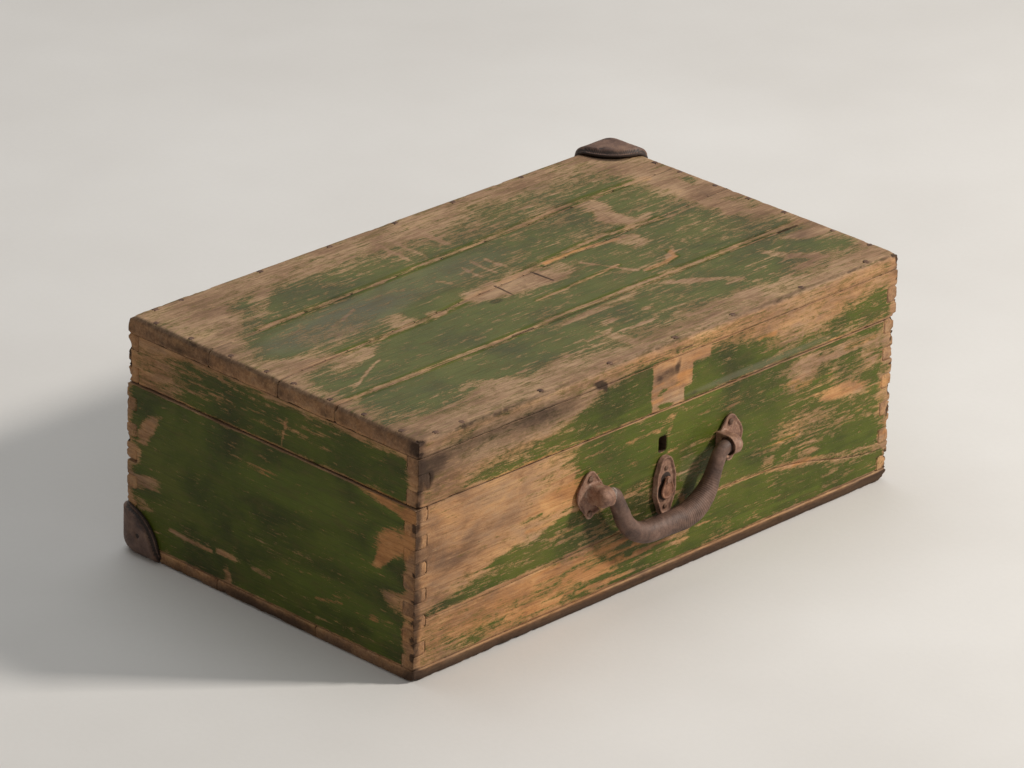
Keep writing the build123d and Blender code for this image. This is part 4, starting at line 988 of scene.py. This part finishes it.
def worn_grip():
    """Leather sleeve on the bail: smooth and scuffed at the left, finely ribbed at the right."""
    line, share = rounded_path(BAIL_CORNERS, BAIL_BENDS, GRIP_STEP)
    keep = (share >= GRIP_STATIONS[0][0]) & (share <= GRIP_STATIONS[-1][0])
    line, share = line[keep], share[keep]
    count, sides = len(line), 72
    radius = np.interp(share, [s for s, r in GRIP_STATIONS], [r for s, r in GRIP_STATIONS])
    kernel = np.ones(9) / 9
    radius[6:-6] = np.convolve(radius, kernel, "same")[6:-6]
    ahead = np.gradient(line, axis=0)
    ahead /= np.linalg.norm(ahead, axis=1)[:, None]
    outward = np.stack([ahead[:, 1], -ahead[:, 0]], 1)
    turn = np.linspace(0, 2 * math.pi, sides, endpoint=False)
    run = np.arange(count) * GRIP_STEP
    grid_run, grid_turn = np.meshgrid(run, turn, indexing="ij")
    grid_share = np.repeat(share[:, None], sides, 1)
    sample = np.stack([grid_run, 12 * np.cos(grid_turn), 12 * np.sin(grid_turn)], -1).reshape(-1, 3)
    uneven = fbm(sample, 16, 41, 3).reshape(count, sides) - 0.5
    crease = fbm(sample, (2.2, 9, 9), 44, 3).reshape(count, sides) - 0.5
    pitch = 2.3
    phase = 2 * math.pi * (grid_run / pitch + 0.25 * np.sin(grid_turn * 2 + grid_run / 30)) + 4 * uneven
    ribbed = ease(grid_share, 0.46, 0.56) * ease(grid_share, 0.88, 0.74)
    lower = 0.45 + 0.55 * (0.5 + 0.5 * np.cos(grid_turn))
    ribs = ribbed * lower * (0.5 + 0.5 * np.cos(phase)) * 0.45
    wrinkles = (1 - 0.7 * ribbed) * 0.55 * crease
    out = radius[:, None] * (1 + 0.05 * uneven) - 0.3 * ribbed + ribs + wrinkles
    across = out * np.cos(grid_turn)
    depth = out * np.sin(grid_turn) * 0.96
    x = HANDLE_X + line[:, :1] + outward[:, :1] * across
    z = PIVOT_Z + line[:, 1:] + outward[:, 1:] * across
    place = np.stack([x, PIVOT_Y - depth, z], -1).reshape(-1, 3)
    work = bmesh.new()
    verts = [work.verts.new(p) for p in place * MM]
    for i in range(count - 1):
        for k in range(sides):
            nxt = (k + 1) % sides
            work.faces.new((verts[i * sides + k], verts[i * sides + nxt],
                            verts[(i + 1) * sides + nxt], verts[(i + 1) * sides + k]))
    work.faces.new(verts[:sides][::-1])
    work.faces.new(verts[-sides:])
    bmesh.ops.recalc_face_normals(work, faces=work.faces)
    mesh = bpy.data.meshes.new("handle_grip_worn")
    work.to_mesh(mesh)
    work.free()
    crest = 0.5 + 0.9 * (ribs - 0.28 * ribbed * lower) + 0.7 * wrinkles + 0.5 * uneven
    dirt = 0.1 + 0.3 * ease(grid_share, 0.045, 0.037) + 0.6 * ease(grid_share, 0.92, 0.95)
    tone = 0.15 + 0.55 * ease(grid_share, 0.085, 0.06)
    write_wear(mesh, (np.clip(crest, 0, 1).ravel(), dirt.ravel(), tone.ravel()))
    return new_piece("handle_grip_worn", mesh, "handle", "leather_grip", GRIP, "handle_grip")


worn_grip()


# ------------------------------------------------------------------ handle brackets
def worn_bracket(node, side):
    """Pear-shaped plate with a raised rim, and a flared socket round the bail's end."""
    centre = HANDLE_X + side * HALF_SPAN
    mouth = LEFT_MOUTH if side < 0 else RIGHT_MOUTH
    work = welded_copy(node)
    loop = hull_outline([(centre, PIVOT_Z, 14.9), (centre, PIVOT_Z + 14, 6.4),
                         (centre, PIVOT_Z - 18.5, 3.9)])
    tube(work, [(u, FRONT - 2.4, v) for u, v in loop], 1.5, closed=True)
    inner = hull_outline([(centre, PIVOT_Z, 11.6), (centre, PIVOT_Z + 13.5, 4.4),
                          (centre, PIVOT_Z - 15.5, 3.0)])
    tube(work, [(u, FRONT - 2.2, v) for u, v in inner], 0.8, closed=True)
    # Lip of the socket: turned about the pivot, so the bail clears it at every angle.
    ring = []
    for k in range(40):
        turn = 2 * math.pi * k / 40
        ring.append((HANDLE_X + side * (mouth + 0.8), PIVOT_Y + 8.9 * math.cos(turn),
                     PIVOT_Z + 8.9 * math.sin(turn)))
    tube(work, ring, 0.8, closed=True)
    # Curled tip at the plate's foot.
    tip = [(centre - side * (2 + 0.9 * k), FRONT - 2.5 - 2.2 * math.sin(k / 5), PIVOT_Z - 19 + 0.35 * k)
           for k in range(10)]
    tube(work, tip, [2.2 - 0.12 * k for k in range(10)])
    return cast_piece(work, 0.65, node + "_worn", 4, 0.7, "box", "rusted_iron", FITTING, node, back=FRONT)


worn_bracket("handle_bracket_left", -1)
worn_bracket("handle_bracket_right", 1)

# ------------------------------------------------------------------ escutcheon and keyhole cover
PLATE_CIRCLES = [(0, 110, 8), (-3.5, 98, 8.5), (3.5, 98, 8.5), (-4.5, 83, 8), (4.5, 83, 8), (0, 70, 7.5)]


def plate_loop(grow, shift=0.0):
    """The escutcheon's outline, grown or shrunk."""
    return hull_outline([(LOCK_X + shift + u, v, r + grow) for u, v, r in PLATE_CIRCLES])


work = welded_copy("escutcheon_plate")
tube(work, [(u, FRONT - 4.0, v) for u, v in plate_loop(-1.0)], 1.25, closed=True)
tube(work, [(u, FRONT - 1.0, v) for u, v in plate_loop(-0.2, -0.7)], 1.0, closed=True)
tube(work, [(u, FRONT - 2.4, v) for u, v in plate_loop(-0.4, -0.4)], 0.8, closed=True)


def plate_shade(place):
    """Painted shadow on the plate: dark under the keyhole cover and in a thin ring just round it, where the
    gap under the cover is in shade, and black in the keyhole.
    """
    low = np.hypot(place[:, 0] - LOCK_X, place[:, 2] - KEYHOLE_Z) - 8.0
    high = np.hypot(place[:, 0] - LOCK_X, place[:, 2] - COVER_Z) - 4.5
    return 0.1 + 0.9 * ease(np.minimum(low, high), 2.6, 0.8)


cast_piece(work, 0.6, "escutcheon_plate_worn", 2, 0.5, "box", "rusted_iron", FITTING,
           "escutcheon_plate", back=FRONT, dirt=plate_shade)

COVER_CIRCLES = [(LOCK_X, COVER_Z, 3.2), (LOCK_X, KEYHOLE_Z, 7.9)]
COVER_OUT = 5.2
work = bmesh.new()
slab(work, hull_outline(COVER_CIRCLES), COVER_OUT, COVER_OUT + 1.2)
tube(work, [(u, FRONT - COVER_OUT - 1.1, v)
            for u, v in hull_outline([(u, v, r - 0.9) for u, v, r in COVER_CIRCLES])], 1.0, closed=True)
ball(work, (LOCK_X, FRONT - COVER_OUT - 0.7, KEYHOLE_Z - 0.5), (4.4, 1.4, 4.6))
cast_piece(work, 0.45, "keyhole_cover_worn", 2, 0.25, "keyhole_cover", "rusted_iron", COVER,
           "keyhole_cover", back=FRONT - COVER_OUT)

# ------------------------------------------------------------------ CAD pieces that keep their shape
for name, node in nodes.items():
    if node.hide_render:
        continue
    if name.startswith(("lock_", "left_hinge", "right_hinge")) and not name.endswith("screws"):
        material = STEEL
    elif name.endswith(("nails", "screws")):
        material = NAIL
    else:
        material = FITTING
    for slot in node.material_slots:
        slot.link = "OBJECT"
        slot.material = material


# ------------------------------------------------------------------ floor, light and camera
def floor_material():
    s = Shader("pale_floor")
    cloud = s.noise(700, 4, 0.6)
    grit = s.noise(6, 3, 0.6)
    colour = s.ramp(s.total(cloud, s.sway(grit, 0.1)), (0.3, "#cecbc8"), (0.7, "#dbd9d7"))
    return s.finish(colour, 0.75, grit, 0.1)


def make_floor():
    work = bmesh.new()
    bmesh.ops.create_grid(work, x_segments=24, y_segments=24, size=9.0)
    mesh = bpy.data.meshes.new("floor")
    work.to_mesh(mesh)
    work.free()
    mesh.materials.append(floor_material())
    floor = bpy.data.objects.new("floor", mesh)
    floor.location.z = min(0.0, CAD_LOW.z)
    bpy.context.scene.collection.objects.link(floor)


def area_light(name, place, target, size, power, colour):
    data = bpy.data.lights.new(name, "AREA")
    data.shape = "RECTANGLE"
    data.size, data.size_y = size
    data.energy = power
    data.color = colour
    light = bpy.data.objects.new(name, data)
    light.location = place
    light.rotation_euler = (Vector(target) - Vector(place)).to_track_quat("-Z", "Y").to_euler()
    bpy.context.scene.collection.objects.link(light)


make_floor()
area_light("key", (2.3, -2.6, 2.5), (0, 0, 0.1), (0.5, 0.5), 170, (1.0, 0.945, 0.87))
area_light("sky", (0.4, 1.2, 3.2), (0, 0, 0.2), (3.0, 2.2), 34, (0.93, 0.97, 1.0))

world = bpy.data.worlds.new("studio")
world.use_nodes = True
background = world.node_tree.nodes["Background"]
background.inputs[0].default_value = (1.0, 0.97, 0.91, 1.0)
background.inputs[1].default_value = 0.3
bpy.context.scene.world = world
bpy.context.scene.view_settings.view_transform = "Standard"

camera_data = bpy.data.cameras.new("camera")
camera_data.lens = 208.5
camera_data.sensor_width = 36.0
camera_data.clip_end = 60.0
camera = bpy.data.objects.new("camera", camera_data)
camera.location = (-3.4353, -3.2933, 2.2581)
camera.rotation_euler = [math.radians(a) for a in (65.855, -1.441, -45.524)]
bpy.context.scene.collection.objects.link(camera)
bpy.context.scene.camera = camera
